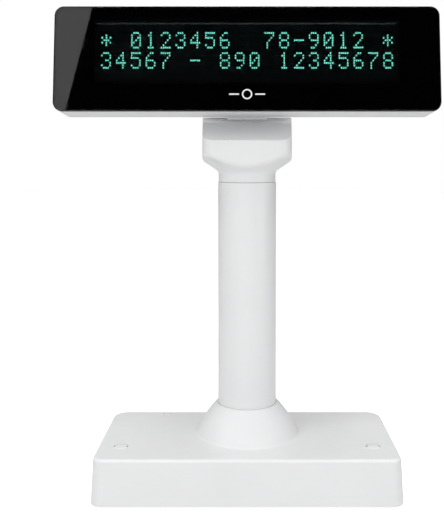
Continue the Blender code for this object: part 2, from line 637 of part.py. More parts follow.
def neck_housing(swivel):
    """All heights here are the object's own; the swivel's pivot stands at the foot of the pole's axis."""
    front, rear = -NECK_D / 2, NECK_D / 2
    hinge_y = HINGE_Y - POLE_Y
    flat = SLOPE_FRONT_Z + SLOPE_RUN * math.tan(SLOPE_ANGLE)
    housing = rounded_block(
        "neck_housing", (-NECK_W / 2, NECK_W / 2), (front, rear), (SPIGOT_BOTTOM - OVER, 199 * MM), 2,
        NECK_CORNER, WHITE, swivel, segments=6,
    )
    widen_to_rear(housing, NECK_REAR_W / NECK_W)
    flare = turned("neck_flare", neck_profile(), (0, 0, 0), None, swivel, steps=64)
    boolean(housing, "INTERSECT", flare)
    before = SLOPE_FRONT_Z - 12 * MM * math.tan(SLOPE_ANGLE)
    above = wedge(
        "above_slope",
        [(front - 12 * MM, before), (front + SLOPE_RUN, flat), (40 * MM, flat), (40 * MM, 230 * MM),
         (front - 12 * MM, 230 * MM)],
        40 * MM,
    )
    above.parent = swivel
    cut(housing, above)
    tower = span_box(
        "hinge_tower", (-KNUCKLE_X, KNUCKLE_X), (hinge_y - 5.9 * MM, hinge_y + HINGE_R - 0.1 * MM),
        (185 * MM, HINGE_Z), None, swivel,
    )
    axle = (hinge_y, HINGE_Z)
    knuckle = rod("hinge_knuckle", HINGE_R, (-KNUCKLE_X, KNUCKLE_X), "X", axle, None, swivel, sides=40)
    join(tower, knuckle)
    join(housing, tower)
    width = (-CAVITY_X, CAVITY_X)
    lower = span_box(
        "neck_room", width, (front + 5.5 * MM, rear + OVER), (CAVITY_BOTTOM, 181.5 * MM), None, swivel
    )
    upper = span_box(
        "neck_room_upper", width, (front + 17.5 * MM, rear + OVER), (181 * MM, CAVITY_TOP), None, swivel
    )
    cut(housing, lower, upper)
    for side in (-1, 1):
        inner, outer = side * 10.4 * MM, side * (CAVITY_X + MM)
        join(housing, span_box(
            f"cover_post_{side}", (min(inner, outer), max(inner, outer)), (8.5 * MM, rear - 2.9 * MM),
            (179 * MM, 185.6 * MM), None, swivel,
        ))
    groove = ring(
        "stop_groove", STOP_R_IN - 0.3 * MM, STOP_R_OUT + 0.5 * MM, COLLAR_BOTTOM - OVER,
        COLLAR_BOTTOM + STOP_H, (0, 0, 0), None, swivel, steps=40,
    )
    cut(groove, span_box(
        "stop_left_standing", (-1.2 * MM, 1.2 * MM), (8 * MM, 15 * MM), (155 * MM, 170 * MM), None, swivel
    ))
    bores = [
        groove,
        rod("lead_bore", SPIGOT_BORE_R, (SPIGOT_BOTTOM - OVER, 176 * MM), "Z", (0, 0), None, swivel),
        rod("tower_channel", 3.6 * MM, (186 * MM, HINGE_Z), "Z", (0, hinge_y), None, swivel, sides=20),
        rod("knuckle_bore", HINGE_BORE_R, (-KNUCKLE_X - OVER, KNUCKLE_X + OVER), "X", axle, None, swivel),
    ]
    for side in (-1, 1):
        at = (side * REAR_SCREW_X, REAR_SCREW_Z)
        bores.append(rod(f"post_pilot_{side}", 1.2 * MM, (11 * MM, rear), "Y", at, None, swivel, sides=12))
    cut(housing, *bores)


def neck_details(swivel):
    rear = NECK_D / 2
    cover = rounded_block(
        "neck_rear_cover", (-CAVITY_X + GAP, CAVITY_X - GAP), (rear - 2.5 * MM, rear - 0.3 * MM),
        (CAVITY_BOTTOM + GAP, CAVITY_TOP - GAP), 1, 1.2 * MM, WHITE, swivel, segments=2,
    )
    for side in (-1, 1):
        at, floor = (side * REAR_SCREW_X, REAR_SCREW_Z), rear - 1.5 * MM
        cut(
            cover,
            rod(f"rear_hole_{side}", 1.4 * MM, (rear - 4 * MM, rear + OVER), "Y", at, None, swivel, sides=12),
            rod(f"rear_counterbore_{side}", 2.5 * MM, (floor, rear + OVER), "Y", at, None, swivel, sides=16),
        )
        name = "neck_screw_left" if side < 0 else "neck_screw_right"
        place = (at[0], floor + GAP / 2, at[1])
        screw(name, place, "Y", True, 6.5 * MM, 2.2 * MM, MM, 0.9 * MM, swivel)
    clip_low = SPIGOT_BOTTOM + 2.5 * MM
    clip_top, centre = clip_low + 1.1 * MM, (0, 0, 0)
    clip = ring("retaining_clip", SPIGOT_R - 0.5 * MM, 11.4 * MM, clip_low, clip_top, centre, STEEL, swivel)
    mouth = ((-3 * MM, 3 * MM), (4 * MM, 14 * MM), (clip_low - OVER, clip_top + OVER))
    cut(clip, span_box("clip_mouth", *mouth, None, swivel))
    washer = (clip_top + 0.4 * MM, BUSH_BOTTOM - GAP)
    ring("wave_washer", SPIGOT_R + GAP, 11.8 * MM, *washer, centre, STEEL, swivel)


def neck_lead(swivel):
    """Up the pole's axis, back across the neck's hollow, up the tower and out along the hinge."""
    y = HINGE_Y - POLE_Y
    start, corner = LEAD_SPLIT_Z + GAP, HINGE_Z - LEAD_BEND
    route = [
        (0, 0, start), (0, 0, start + 12 * MM), (0, 0, 172 * MM), (0, 0.6 * MM, 176 * MM),
        (0, 3 * MM, 180 * MM), (0, y - 3 * MM, 184.4 * MM), (0, y - 0.6 * MM, 188 * MM),
        (0, y, 192 * MM), (0, y, 198 * MM),
    ]
    route += arc((LEAD_BEND, y, corner), (-LEAD_BEND, 0, 0), (0, 0, LEAD_BEND), math.pi / 2, 4)
    route += [(KNUCKLE_X - 3 * MM, y, HINGE_Z), (KNUCKLE_X + 0.2 * MM, y, HINGE_Z)]
    lead("lead_neck", route, 1.6 * MM, swivel)


# ---------------------------------------------------------------- head

def head_block(name, half_w, half_h, y, corner, finish=None, parent=None, middle=HEAD_MID_Z):
    height = (middle - half_h, middle + half_h)
    return rounded_block(name, (-half_w, half_w), y, height, 1, corner, finish, parent)


def soften_rear(obj, radius):
    """Rounds the edges of the block's rear face."""
    bm = bmesh.new()
    bm.from_mesh(obj.data)
    rear = max(vert.co.y for vert in bm.verts) - 1e-6
    round_edges(bm, [e for e in bm.edges if all(v.co.y > rear for v in e.verts)], radius, 3)
    bm.to_mesh(obj.data)
    bm.free()


def soften_front(obj, radius):
    """Breaks the edges of the block's front face."""
    bm = bmesh.new()
    bm.from_mesh(obj.data)
    front = min(vert.co.y for vert in bm.verts) + 1e-6
    round_edges(bm, [e for e in bm.edges if all(v.co.y < front for v in e.verts)], radius, 2)
    bm.to_mesh(obj.data)
    bm.free()


def head_front(tilt):
    half_w, half_h = HEAD_W / 2, HEAD_H / 2
    panel = head_block("front_panel", half_w, half_h, (FACE_Y, FACE_Y + PANEL_T), HEAD_CORNER, ACRYLIC, tilt)
    soften_front(panel, 0.7 * MM)
    frame = head_block("front_frame", half_w, half_h, (FRAME_FRONT, FRAME_BACK), HEAD_CORNER, WHITE, tilt)
    opening = head_block(
        "frame_opening", FRAME_OPENING[0] / 2, FRAME_OPENING[1] / 2, (FRAME_FRONT - OVER, FRAME_BACK + OVER),
        2 * MM, None, tilt,
    )
    span = (FRAME_FRONT + 1.6 * MM, FRAME_BACK + OVER)
    pilots = [
        rod(f"frame_pilot_{i}", 1.5 * MM, span, "Y", at, None, tilt, sides=12)
        for i, at in enumerate(CASE_SCREWS)
    ]
    cut(frame, opening, *pilots)
    mask_w, mask_h = FRAME_OPENING[0] / 2 - GAP, FRAME_OPENING[1] / 2 - GAP
    mask = head_block(
        "window_mask", mask_w, mask_h, (FRAME_FRONT, FRAME_FRONT + MASK_T), 1.7 * MM, BLACK_FILM, tilt
    )
    cut(mask, head_block(
        "window", WINDOW[0] / 2, WINDOW[1] / 2, (FRAME_FRONT - OVER, FRAME_BACK), 0.6 * MM, None, tilt,
        HEAD_MID_Z + WINDOW_RISE,
    ))


def display_tube(tilt):
    """The vacuum fluorescent display: a glass lid sealed on a glass base, its leads and its tip."""
    front = FRAME_FRONT + MASK_T + GAP
    back = front + TUBE_LID_T
    half_w, half_h = TUBE_LID_W / 2, TUBE_LID_H / 2
    lid = head_block("tube_lid_glass", half_w, half_h, (front, back), 1.5 * MM, GLASS, tilt, TUBE_Z)
    room = (front + TUBE_GLASS, back + OVER)
    cut(lid, head_block(
        "tube_room", half_w - TUBE_GLASS, half_h - TUBE_GLASS, room, MM, None, tilt, TUBE_Z
    ))
    base = span_box(
        "tube_base_glass", (-TUBE_W / 2, TUBE_W / 2), (back + GAP, back + GAP + TUBE_GLASS),
        (TUBE_Z - TUBE_H / 2, TUBE_Z + TUBE_H / 2), GLASS, tilt,
    )
    glass_back = back + GAP + TUBE_GLASS
    tip, span = (-72 * MM, TUBE_Z + 12 * MM), (glass_back - MM, glass_back + 2.2 * MM)
    join(base, rod("exhaust_tip", 2 * MM, span, "Y", tip, None, tilt, sides=16))
    board_front = HEAD_BOARD_BACK - BOARD_T
    pins, pitch = 28, 5 * MM
    for name, z in (
        ("tube_leads_top", TUBE_Z + TUBE_H / 2 - 1.6 * MM),
        ("tube_leads_bottom", TUBE_Z - TUBE_H / 2 + 1.6 * MM),
    ):
        half, thick = pins * pitch / 2, 0.8 * MM
        between = (glass_back + GAP, board_front - GAP)
        comb = span_box(name, (-half, half), between, (z - thick / 2, z + thick / 2), TIN, tilt)
        size, first = (pitch - 0.9 * MM, 1.5 * MM, 3 * MM), (-half + pitch / 2, board_front - GAP, z)
        slot = box(f"{name}_slot", size, first, None, tilt)
        repeat(slot, pins, pitch)
        cut(comb, slot)


def control_board(tilt):
    back, front = HEAD_BOARD_BACK, HEAD_BOARD_BACK - BOARD_T
    half_w, half_h = HEAD_BOARD_W / 2, HEAD_BOARD_H / 2
    height = (HEAD_MID_Z - half_h, HEAD_MID_Z + half_h)
    board = span_box("control_board", (-half_w, half_w), (front, back), height, LAMINATE, tilt)
    cut(board, *[
        rod(f"head_board_hole_{i}", 1.5 * MM, (front - OVER, back + OVER), "Y", at, None, tilt, sides=12)
        for i, at in enumerate(HEAD_POSTS)
    ])
    for i, (x, z) in enumerate(HEAD_POSTS, 1):
        place = (x, front - GAP / 2, z)
        screw(f"control_board_screw_{i}", place, "Y", False, 5.2 * MM, 2.4 * MM, 1.3 * MM, 1.1 * MM, tilt)
    on_board = back + GAP
    for name, x, z, w, h, t in (
        ("processor_chip", -8, 26, 12, 12, 1.8), ("driver_chip_left", -46, 24, 14, 10, 2.2),
        ("driver_chip_right", 44, 24, 14, 10, 2.2),
    ):
        span_box(
            name, ((x - w / 2) * MM, (x + w / 2) * MM), (on_board, on_board + t * MM),
            ((z - h / 2) * MM, (z + h / 2) * MM), MOULDED_BLACK, tilt,
        )
    span = (on_board, on_board + 5.5 * MM)
    rod("converter_coil", 5 * MM, span, "Y", (-66 * MM, 6 * MM), MOULDED_BLACK, tilt, sides=24)
    width = (LEAD_EXIT_X - 5 * MM, LEAD_EXIT_X + 5 * MM)
    span_box("head_plug", width, (on_board, on_board + 6 * MM), (7.4 * MM, 13.4 * MM), MOULDED_BLACK, tilt)


def rear_shell(tilt):
    half_w, half_h = HEAD_W / 2, HEAD_H / 2
    front = FRAME_BACK + GAP
    shell = head_block("rear_shell", half_w, half_h, (front, HEAD_BACK), HEAD_CORNER, WHITE, tilt)
    soften_rear(shell, 1.8 * MM)
    inside = head_block(
        "shell_inside", half_w - HEAD_WALL, half_h - HEAD_WALL, (front - OVER, HEAD_BACK - HEAD_WALL),
        HEAD_CORNER - HEAD_WALL, None, tilt,
    )
    cut(shell, inside)
    for i, at in enumerate(CASE_SCREWS):
        join(shell, rod(f"case_boss_{i}", 4 * MM, (front, HEAD_BACK - MM), "Y", at, None, tilt, sides=20))
    for i, at in enumerate(HEAD_POSTS):
        span = (HEAD_BOARD_BACK + GAP, HEAD_BACK - MM)
        join(shell, rod(f"head_post_{i}", 3 * MM, span, "Y", at, None, tilt, sides=16))
    for side in (-1, 1):
        low, high = sorted((side * EAR_IN, side * EAR_OUT))
        half = HINGE_R - 0.05 * MM
        ear = span_box(f"ear_{side}", (low, high), (HEAD_BACK - MM, 0), (-half, half), None, tilt)
        join(ear, rod(f"ear_round_{side}", HINGE_R, (low, high), "X", (0, 0), None, tilt, sides=40))
        join(shell, ear)
    holes = []
    floor = HEAD_BACK - 2.6 * MM
    for i, at in enumerate(CASE_SCREWS):
        through, bore = (front - OVER, HEAD_BACK + OVER), (floor, HEAD_BACK + OVER)
        holes.append(rod(f"case_hole_{i}", 1.6 * MM, through, "Y", at, None, tilt, sides=12))
        holes.append(rod(f"case_counterbore_{i}", 3.4 * MM, bore, "Y", at, None, tilt, sides=20))
    for i, at in enumerate(HEAD_POSTS):
        span = (HEAD_BOARD_BACK - OVER, floor)
        holes.append(rod(f"post_hole_{i}", 1.4 * MM, span, "Y", at, None, tilt, sides=12))
    for side in (-1, 1):
        ends = sorted((side * (EAR_IN - OVER), side * 17 * MM))
        holes.append(rod(f"ear_bore_{side}", HINGE_BORE_R, ends, "X", (0, 0), None, tilt, sides=32))
        recess = 14.6 * MM if side > 0 else 16.6 * MM
        ends = sorted((side * recess, side * (EAR_OUT + OVER)))
        holes.append(rod(f"ear_recess_{side}", EAR_RECESS_R, ends, "X", (0, 0), None, tilt, sides=32))
    span = (HEAD_BACK - 2 * HEAD_WALL, 0)
    holes.append(rod("lead_passage", 2.6 * MM, span, "Y", (LEAD_EXIT_X, 0), None, tilt, sides=20))
    for side in (-1, 1):
        first = (side * VENT_X, HEAD_BACK, VENT_Z)
        vent = box(f"vents_{side}", (VENT_W, 8 * MM, VENT_H), first, None, tilt)
        repeat(vent, VENT_COUNT, side * VENT_STEP)
        holes.append(vent)
    cut(shell, *holes)
    for i, (x, z) in enumerate(CASE_SCREWS, 1):
        place = (x, floor + 0.1 * MM, z)
        screw(f"case_screw_{i}", place, "Y", True, 15.6 * MM, 2.9 * MM, 1.8 * MM, 1.2 * MM, tilt)


def hinge(tilt):
    """A plain pin on the left, and on the right a hollow sleeve that the lead passes through."""
    head_in, head_out = 16.9 * MM, 18.7 * MM
    pin_r, head_r = HINGE_BORE_R - GAP, EAR_RECESS_R - GAP
    profile = [
        (0, -5 * MM), (pin_r - 0.5 * MM, -5 * MM), (pin_r, -5.5 * MM), (pin_r, -head_in),
        (head_r, -head_in), (head_r, -head_out), (0, -head_out),
    ]
    turned("hinge_pin", profile, (0, 0, 0), STEEL, tilt, steps=32, axis="X")
    ring("hinge_sleeve", 3 * MM, pin_r, 5 * MM, 14.3 * MM, (0, 0, 0), STEEL, tilt, axis="X")
    for name, side in (("friction_washer_left", -1), ("friction_washer_right", 1)):
        low, high = sorted((side * (KNUCKLE_X + GAP), side * (KNUCKLE_X + GAP + WASHER_T)))
        ring(name, HINGE_BORE_R + GAP, 7 * MM, low, high, (0, 0, 0), STEEL, tilt, axis="X")
    for name, side in (("hinge_cap_left", -1), ("hinge_cap_right", 1)):
        ends = sorted((side * 20.3 * MM, side * 22.6 * MM))
        rod(name, EAR_RECESS_R - GAP, ends, "X", (0, 0), WHITE, tilt, sides=32)


def head_lead(tilt):
    """Out of the hinge's sleeve, forward through the ear and up to its plug on the board."""
    start = KNUCKLE_X + 0.2 * MM + GAP
    corner_x = LEAD_EXIT_X - LEAD_BEND
    route = [Vector((start, 0, 0))]
    route += arc((corner_x, -LEAD_BEND, 0), (0, LEAD_BEND, 0), (LEAD_BEND, 0, 0), math.pi / 2, 4)
    route += [Vector(p) for p in (
        (LEAD_EXIT_X, -7.5 * MM, 0), (LEAD_EXIT_X, -11 * MM, 0), (LEAD_EXIT_X, -13.6 * MM, 1.2 * MM),
        (LEAD_EXIT_X, -14.7 * MM, 3.8 * MM), (LEAD_EXIT_X, -14.7 * MM, 7.1 * MM),
    )]
    lead("lead_head", route, 1.6 * MM, tilt)


def build():
    base_cover()
    cap("anchor_cap_left", ANCHOR_CAP_R, (-ANCHOR_X, ANCHOR_Y))
    cap("anchor_cap_right", ANCHOR_CAP_R, (ANCHOR_X, ANCHOR_Y))
    cap("rear_plug", REAR_PLUG_R, REAR_PLUG)
    base_underside()
    interface_board()
    pole()
    pole_lead()
    swivel = pivot("swivel_axis", (0, POLE_Y, 0))
    neck_housing(swivel)
    neck_details(swivel)
    neck_lead(swivel)
    tilt = pivot("tilt_axis", (0, HINGE_Y - POLE_Y, HINGE_Z), -REST_TILT, swivel)
    head_front(tilt)
    display_tube(tilt)
    control_board(tilt)
    rear_shell(tilt)
    hinge(tilt)
    head_lead(tilt)


build()
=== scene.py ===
"""The customer pole display's looks: its moulded shells, smoked front, lit characters, screws and
finishes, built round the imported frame. Metres, +Z up; the side that is read faces -Y."""

import json
import math
from contextlib import contextmanager

import bmesh
import bpy
from mathutils import Matrix, Vector

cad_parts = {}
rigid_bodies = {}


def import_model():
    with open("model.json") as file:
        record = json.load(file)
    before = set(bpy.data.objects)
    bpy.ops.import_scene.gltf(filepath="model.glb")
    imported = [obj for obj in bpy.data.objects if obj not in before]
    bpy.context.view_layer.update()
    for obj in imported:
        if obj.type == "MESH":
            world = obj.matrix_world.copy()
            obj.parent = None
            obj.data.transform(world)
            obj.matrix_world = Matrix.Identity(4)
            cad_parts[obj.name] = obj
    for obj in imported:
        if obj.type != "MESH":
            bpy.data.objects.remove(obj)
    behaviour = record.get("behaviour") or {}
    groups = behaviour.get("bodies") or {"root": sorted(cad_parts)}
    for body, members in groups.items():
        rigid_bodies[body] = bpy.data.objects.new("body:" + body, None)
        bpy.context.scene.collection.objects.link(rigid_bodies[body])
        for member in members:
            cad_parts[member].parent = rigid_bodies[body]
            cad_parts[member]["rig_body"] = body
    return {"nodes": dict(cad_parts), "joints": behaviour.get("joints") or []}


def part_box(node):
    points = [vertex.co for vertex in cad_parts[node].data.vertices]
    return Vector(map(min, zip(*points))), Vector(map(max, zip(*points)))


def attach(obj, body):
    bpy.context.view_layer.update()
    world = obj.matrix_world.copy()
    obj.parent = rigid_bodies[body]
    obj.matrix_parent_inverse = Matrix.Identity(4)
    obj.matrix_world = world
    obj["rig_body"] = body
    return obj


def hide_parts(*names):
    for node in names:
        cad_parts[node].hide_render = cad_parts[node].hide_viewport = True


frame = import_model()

MM = 0.001
PLAY = 0.3 * MM                     # between neighbouring pieces
PAST = 3 * MM                       # how far a cutter runs past what it cuts
SMOOTH_BELOW = math.radians(32)     # edges flatter than this are shaded smooth
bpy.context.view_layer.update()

JOINTS = {joint["name"]: joint for joint in frame["joints"]}
POLE = Vector(JOINTS["head_swivel"]["pos_m"])
HINGE = Vector(JOINTS["head_tilt"]["pos_m"])
FACE_NORMAL = min(frame["nodes"]["front_panel"].data.polygons, key=lambda f: f.normal.y * f.area).normal
LEAN = math.atan2(FACE_NORMAL.z, -FACE_NORMAL.y)
PLACES = {                          # where each body's own upright axes stand
    "base": Matrix.Identity(4),
    "neck": Matrix.Translation((POLE.x, POLE.y, 0)),
    "head": Matrix.Translation(HINGE) @ Matrix.Rotation(-LEAN, 4, "X"),
}


def own_box(node):
    """A CAD node's lowest and highest corners in its body's own upright axes."""
    obj = frame["nodes"][node]
    back = PLACES[obj["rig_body"]].inverted()
    points = [back @ vert.co for vert in obj.data.vertices]
    return (
        Vector(min(p[i] for p in points) for i in range(3)),
        Vector(max(p[i] for p in points) for i in range(3)),
    )


def nodes_called(kind):
    """The numbered or sided CAD nodes of one kind, in order."""
    return sorted(name for name in frame["nodes"] if name.startswith(kind + "_"))


def centre_of(node):
    low, high = own_box(node)
    return (low + high) / 2


def half_width(node):
    low, high = own_box(node)
    return (high.x - low.x) / 2


def about(centre, half):
    """The (low, high) that reach half each way from a centre."""
    return centre - half, centre + half


# ---------------------------------------------------------------- shaping

def alone(obj):
    """Makes one object the only one selected."""
    bpy.ops.object.select_all(action="DESELECT")
    obj.select_set(True)
    bpy.context.view_layer.objects.active = obj


@contextmanager
def shaping(obj):
    alone(obj)
    bpy.ops.object.mode_set(mode="EDIT")
    yield
    bpy.ops.object.mode_set(mode="OBJECT")


def pick(obj, kind, test):
    """In edit mode, selects the vertices, edges or faces that pass a test."""
    bpy.ops.mesh.select_mode(type=kind)
    bpy.ops.mesh.select_all(action="DESELECT")
    shape = bmesh.from_edit_mesh(obj.data)
    for item in {"VERT": shape.verts, "EDGE": shape.edges, "FACE": shape.faces}[kind]:
        if test(item):
            item.select_set(True)
    bmesh.update_edit_mesh(obj.data)


def middle(item):
    return sum((vert.co for vert in item.verts), Vector()) / len(item.verts)


def along(edge, axis):
    """Whether an edge runs along X, Y or Z (0, 1 or 2)."""
    run = edge.verts[1].co - edge.verts[0].co
    return abs(run[axis]) > 0.95 * run.length


def settled(obj):
    """Moves an object's place, turn and size into its mesh."""
    alone(obj)
    bpy.ops.object.transform_apply(location=True, rotation=True, scale=True)
    return obj


def slab(x, y, z):
    """A block from its (low, high) along each axis."""
    size = [high - low for low, high in (x, y, z)]
    centre = [(high + low) / 2 for low, high in (x, y, z)]
    bpy.ops.mesh.primitive_cube_add(size=1, location=centre, scale=size)
    return settled(bpy.context.object)


def bevel(obj, test, width, segments=3):
    with shaping(obj):
        pick(obj, "EDGE", test)
        bpy.ops.mesh.bevel(offset=width, segments=segments, affect="EDGES")
    return obj


def on_plane(axis, value):
    """A test for edges that lie in a plane across an axis."""
    return lambda edge: all(abs(vert.co[axis] - value) < 0.01 * MM for vert in edge.verts)


def rounded_slab(x, y, z, axis, corner, segments=10):
    """A block whose four edges along one axis are rounded."""
    return bevel(slab(x, y, z), lambda edge: along(edge, axis), corner, segments)


def node_slab(node, corner, y=None, inset=0.0, segments=12):
    """A block on a CAD node's outline, with its corners rounded as seen from the front."""
    low, high = own_box(node)
    x, z = (low.x + inset, high.x - inset), (low.z + inset, high.z - inset)
    return rounded_slab(x, y or (low.y, high.y), z, 1, corner, segments)


TURNS = {"X": (0, math.pi / 2, 0), "Y": (math.pi / 2, 0, 0), "Z": (0, 0, 0)}


def rod(radius, span, axis, at, sides=32):
    """A cylinder from span[0] to span[1] along an axis, at a point or at the other two coordinates."""
    if len(at) == 3:
        at = [value for value, label in zip(at, "XYZ") if label != axis]
    centre, length = (span[0] + span[1]) / 2, abs(span[1] - span[0])
    place = {"X": (centre, *at), "Y": (at[0], centre, at[1]), "Z": (*at, centre)}[axis]
    bpy.ops.mesh.primitive_cylinder_add(
        vertices=sides, radius=radius, depth=length, location=place, rotation=TURNS[axis]
    )
    return settled(bpy.context.object)


def turned(profile, sides=64, ring=False):
    """A turned piece round Z: a circle is extruded and resized along (radius, height) points, then
    capped at both ends, or closed on itself as a ring."""
    radius, height = profile[0]
    bpy.ops.mesh.primitive_circle_add(vertices=sides, radius=radius, location=(0, 0, height))
    obj = settled(bpy.context.object)
    with shaping(obj):
        bpy.ops.mesh.select_all(action="SELECT")
        if not ring:
            bpy.ops.mesh.edge_face_add()
            pick(obj, "EDGE", lambda edge: True)
        for next_radius, next_height in profile[1:]:
            bpy.ops.mesh.extrude_edges_move(
                TRANSFORM_OT_translate={"value": (0, 0, next_height - height)}
            )
            grow = next_radius / radius
            bpy.ops.transform.resize(value=(grow, grow, 1), center_override=(0, 0, next_height))
            radius, height = next_radius, next_height
        if not ring:
            bpy.ops.mesh.edge_face_add()
        else:
            pick(obj, "EDGE", lambda edge: edge.is_boundary)
            bpy.ops.mesh.bridge_edge_loops()
        bpy.ops.mesh.select_all(action="SELECT")
        bpy.ops.mesh.normals_make_consistent(inside=False)
    return obj


def scaled(radius, height, shares):
    """Profile points from their shares of a radius and a height."""
    return [(radius * across, height * up) for across, up in shares]


def curved(start, toward, end, steps):
    """Points on a curve that leaves its start for a point and comes from there to its end."""
    points = []
    for i in range(steps + 1):
        t = i / steps
        points.append(tuple(start * (1 - t) ** 2 + toward * 2 * t * (1 - t) + end * t * t))
    return points


def moved(obj, matrix):
    """Moves and turns a piece, and settles that into its mesh."""
    obj.matrix_world = matrix
    return settled(obj)


def lay(obj, axis, at=(0, 0, 0), flip=False):
    """Lays a piece that was turned round Z along another axis, head end towards + or, flipped, -."""
    turn = {"X": Matrix.Rotation(math.pi / 2, 4, "Y"), "Y": Matrix.Rotation(-math.pi / 2, 4, "X"),
            "Z": Matrix.Identity(4)}[axis]
    over = Matrix.Rotation(math.pi, 4, "Y" if axis == "Z" else "Z") if flip else Matrix.Identity(4)
    return moved(obj, Matrix.Translation(at) @ over @ turn)


def finish_with(obj, kind, **settings):
    """Adds a modifier and applies it."""
    alone(obj)
    step = obj.modifiers.new(kind.lower(), kind)
    for key, value in settings.items():
        setattr(step, key, value)
    bpy.ops.object.modifier_apply(modifier=step.name)
    return obj


def worked(obj, operation, *others):
    """Joins other solids to a piece, cuts them from it, or keeps what they share."""
    for other in others:
        finish_with(obj, "BOOLEAN", operation=operation, object=other, solver="EXACT")
        bpy.data.objects.remove(other)
    return obj


def cut(obj, *others):
    return worked(obj, "DIFFERENCE", *others)


def weld(obj, *others):
    return worked(obj, "UNION", *others)


def ease(obj, width, degrees=40, segments=2):
    """Rounds every edge that is sharper than an angle."""
    return finish_with(
        obj, "BEVEL", width=width, segments=segments, limit_method="ANGLE",
        angle_limit=math.radians(degrees), harden_normals=False, miter_outer="MITER_ARC",
    )


def bend(obj, test, width, segments):
    """Rounds the sharp edges whose middle passes a test."""
    with shaping(obj):
        pick(obj, "EDGE", lambda e: e.calc_face_angle(0) > math.radians(25) and test(middle(e)))
        bpy.ops.mesh.bevel(offset=width, segments=segments, affect="EDGES", clamp_overlap=False)
    return obj


def together(pieces):
    """Joins separate solids into one object."""
    bpy.ops.object.select_all(action="DESELECT")
    for piece in pieces:
        piece.select_set(True)
    bpy.context.view_layer.objects.active = pieces[0]
    if len(pieces) > 1:
        bpy.ops.object.join()
    return pieces[0]


def done(obj, name, finish, *nodes, body="head"):
    """A finished piece: named, in its place, smoothed, and given its body and finish. A piece
    that stands for a CAD node rides on that node's body."""
    if nodes:
        body = frame["nodes"][nodes[0]]["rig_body"]
    obj.name = obj.data.name = name
    moved(obj, PLACES[body])
    obj.data.materials.clear()
    obj.data.materials.append(finish)
    alone(obj)
    bpy.ops.object.shade_smooth_by_angle(angle=SMOOTH_BELOW)
    finish_with(obj, "WEIGHTED_NORMAL", keep_sharp=True, weight=60)
    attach(obj, body)
    if nodes:
        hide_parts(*nodes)
    return obj


def refined(node, name, finish, width=0.12 * MM):
    """A CAD node's own shape with its facets merged and its edges eased."""
    source = frame["nodes"][node]
    obj = bpy.data.objects.new(name, source.data.copy())
    bpy.context.scene.collection.objects.link(obj)
    with shaping(obj):
        bpy.ops.mesh.select_all(action="SELECT")
        bpy.ops.mesh.remove_doubles(threshold=0.002 * MM)
        bpy.ops.mesh.customdata_custom_splitnormals_clear()
        bpy.ops.mesh.dissolve_limited(angle_limit=math.radians(1))
    if width:
        ease(obj, width)
    moved(obj, PLACES[source["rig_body"]].inverted())
    done(obj, name, finish, node)


# ---------------------------------------------------------------- finishes

FLOAT, VECTOR = "NodeSocketFloat", "NodeSocketVector"


def feed(made, inputs):
    """Gives a shader node's inputs their values, or the sockets that feed them."""
    for key, value in inputs.items():
        if isinstance(value, bpy.types.NodeSocket):
            made.id_data.links.new(value, made.inputs[key])
        else:
            made.inputs[key].default_value = value


def node(tree, kind, inputs=None, **settings):
    """Adds a shader node, with its settings and its inputs."""
    made = tree.nodes.new(kind)
    for key, value in settings.items():
        setattr(made, key, value)
    feed(made, inputs or {})
    return made


def maths(tree, operation, first, second=0.0):
    return node(tree, "ShaderNodeMath", {0: first, 1: second}, operation=operation).outputs[0]


def spread(tree, value, low, high, start=0.0, end=1.0):
    """Moves a value's range from low..high to start..end, and holds it there."""
    return node(tree, "ShaderNodeMapRange", {
        "Value": value, "From Min": low, "From Max": high, "To Min": start, "To Max": end,
    }).outputs[0]


def noise(tree, vector, scale, detail=3.0, roughness=0.5):
    return node(tree, "ShaderNodeTexNoise", {
        "Vector": vector, "Scale": scale, "Detail": detail, "Roughness": roughness,
    }).outputs["Fac"]


def tinted(tree, mask, first, second):
    """A colour that goes from first to second with a mask."""
    mix = node(tree, "ShaderNodeMix", {0: mask}, data_type="RGBA")
    for key, color in ((6, first), (7, second)):
        feed(mix, {key: color if isinstance(color, bpy.types.NodeSocket) else (*color, 1)})
    return mix.outputs[2]


def new_group(name, inputs, outputs):
    """A shader group, the sockets it is given, and the node that takes its results."""
    group = bpy.data.node_groups.new(name, "ShaderNodeTree")
    for label, (kind, default) in inputs.items():
        socket = group.interface.new_socket(name=label, in_out="INPUT", socket_type=kind)
        if default is not None:
            socket.default_value = default
    for label in outputs:
        group.interface.new_socket(name=label, in_out="OUTPUT", socket_type=FLOAT)
    return group, group.nodes.new("NodeGroupInput").outputs, group.nodes.new("NodeGroupOutput")


def moulded_grain():
    """The fine spark-eroded grain of a moulded surface, and its slow drift in gloss."""
    group, given, result = new_group(
        "moulded grain", {"Vector": (VECTOR, None), "Scale": (FLOAT, 2600.0)}, ("Height", "Drift")
    )
    fine = noise(group, given["Vector"], given["Scale"], 2.0, 0.6)
    coarse = noise(group, given["Vector"], maths(group, "MULTIPLY", given["Scale"], 0.35), 2.0)
    height = maths(group, "ADD", maths(group, "MULTIPLY", fine, 0.7), maths(group, "MULTIPLY", coarse, 0.3))
    feed(result, {"Height": height, "Drift": noise(group, given["Vector"], 28.0, 4.0, 0.6)})
    return group


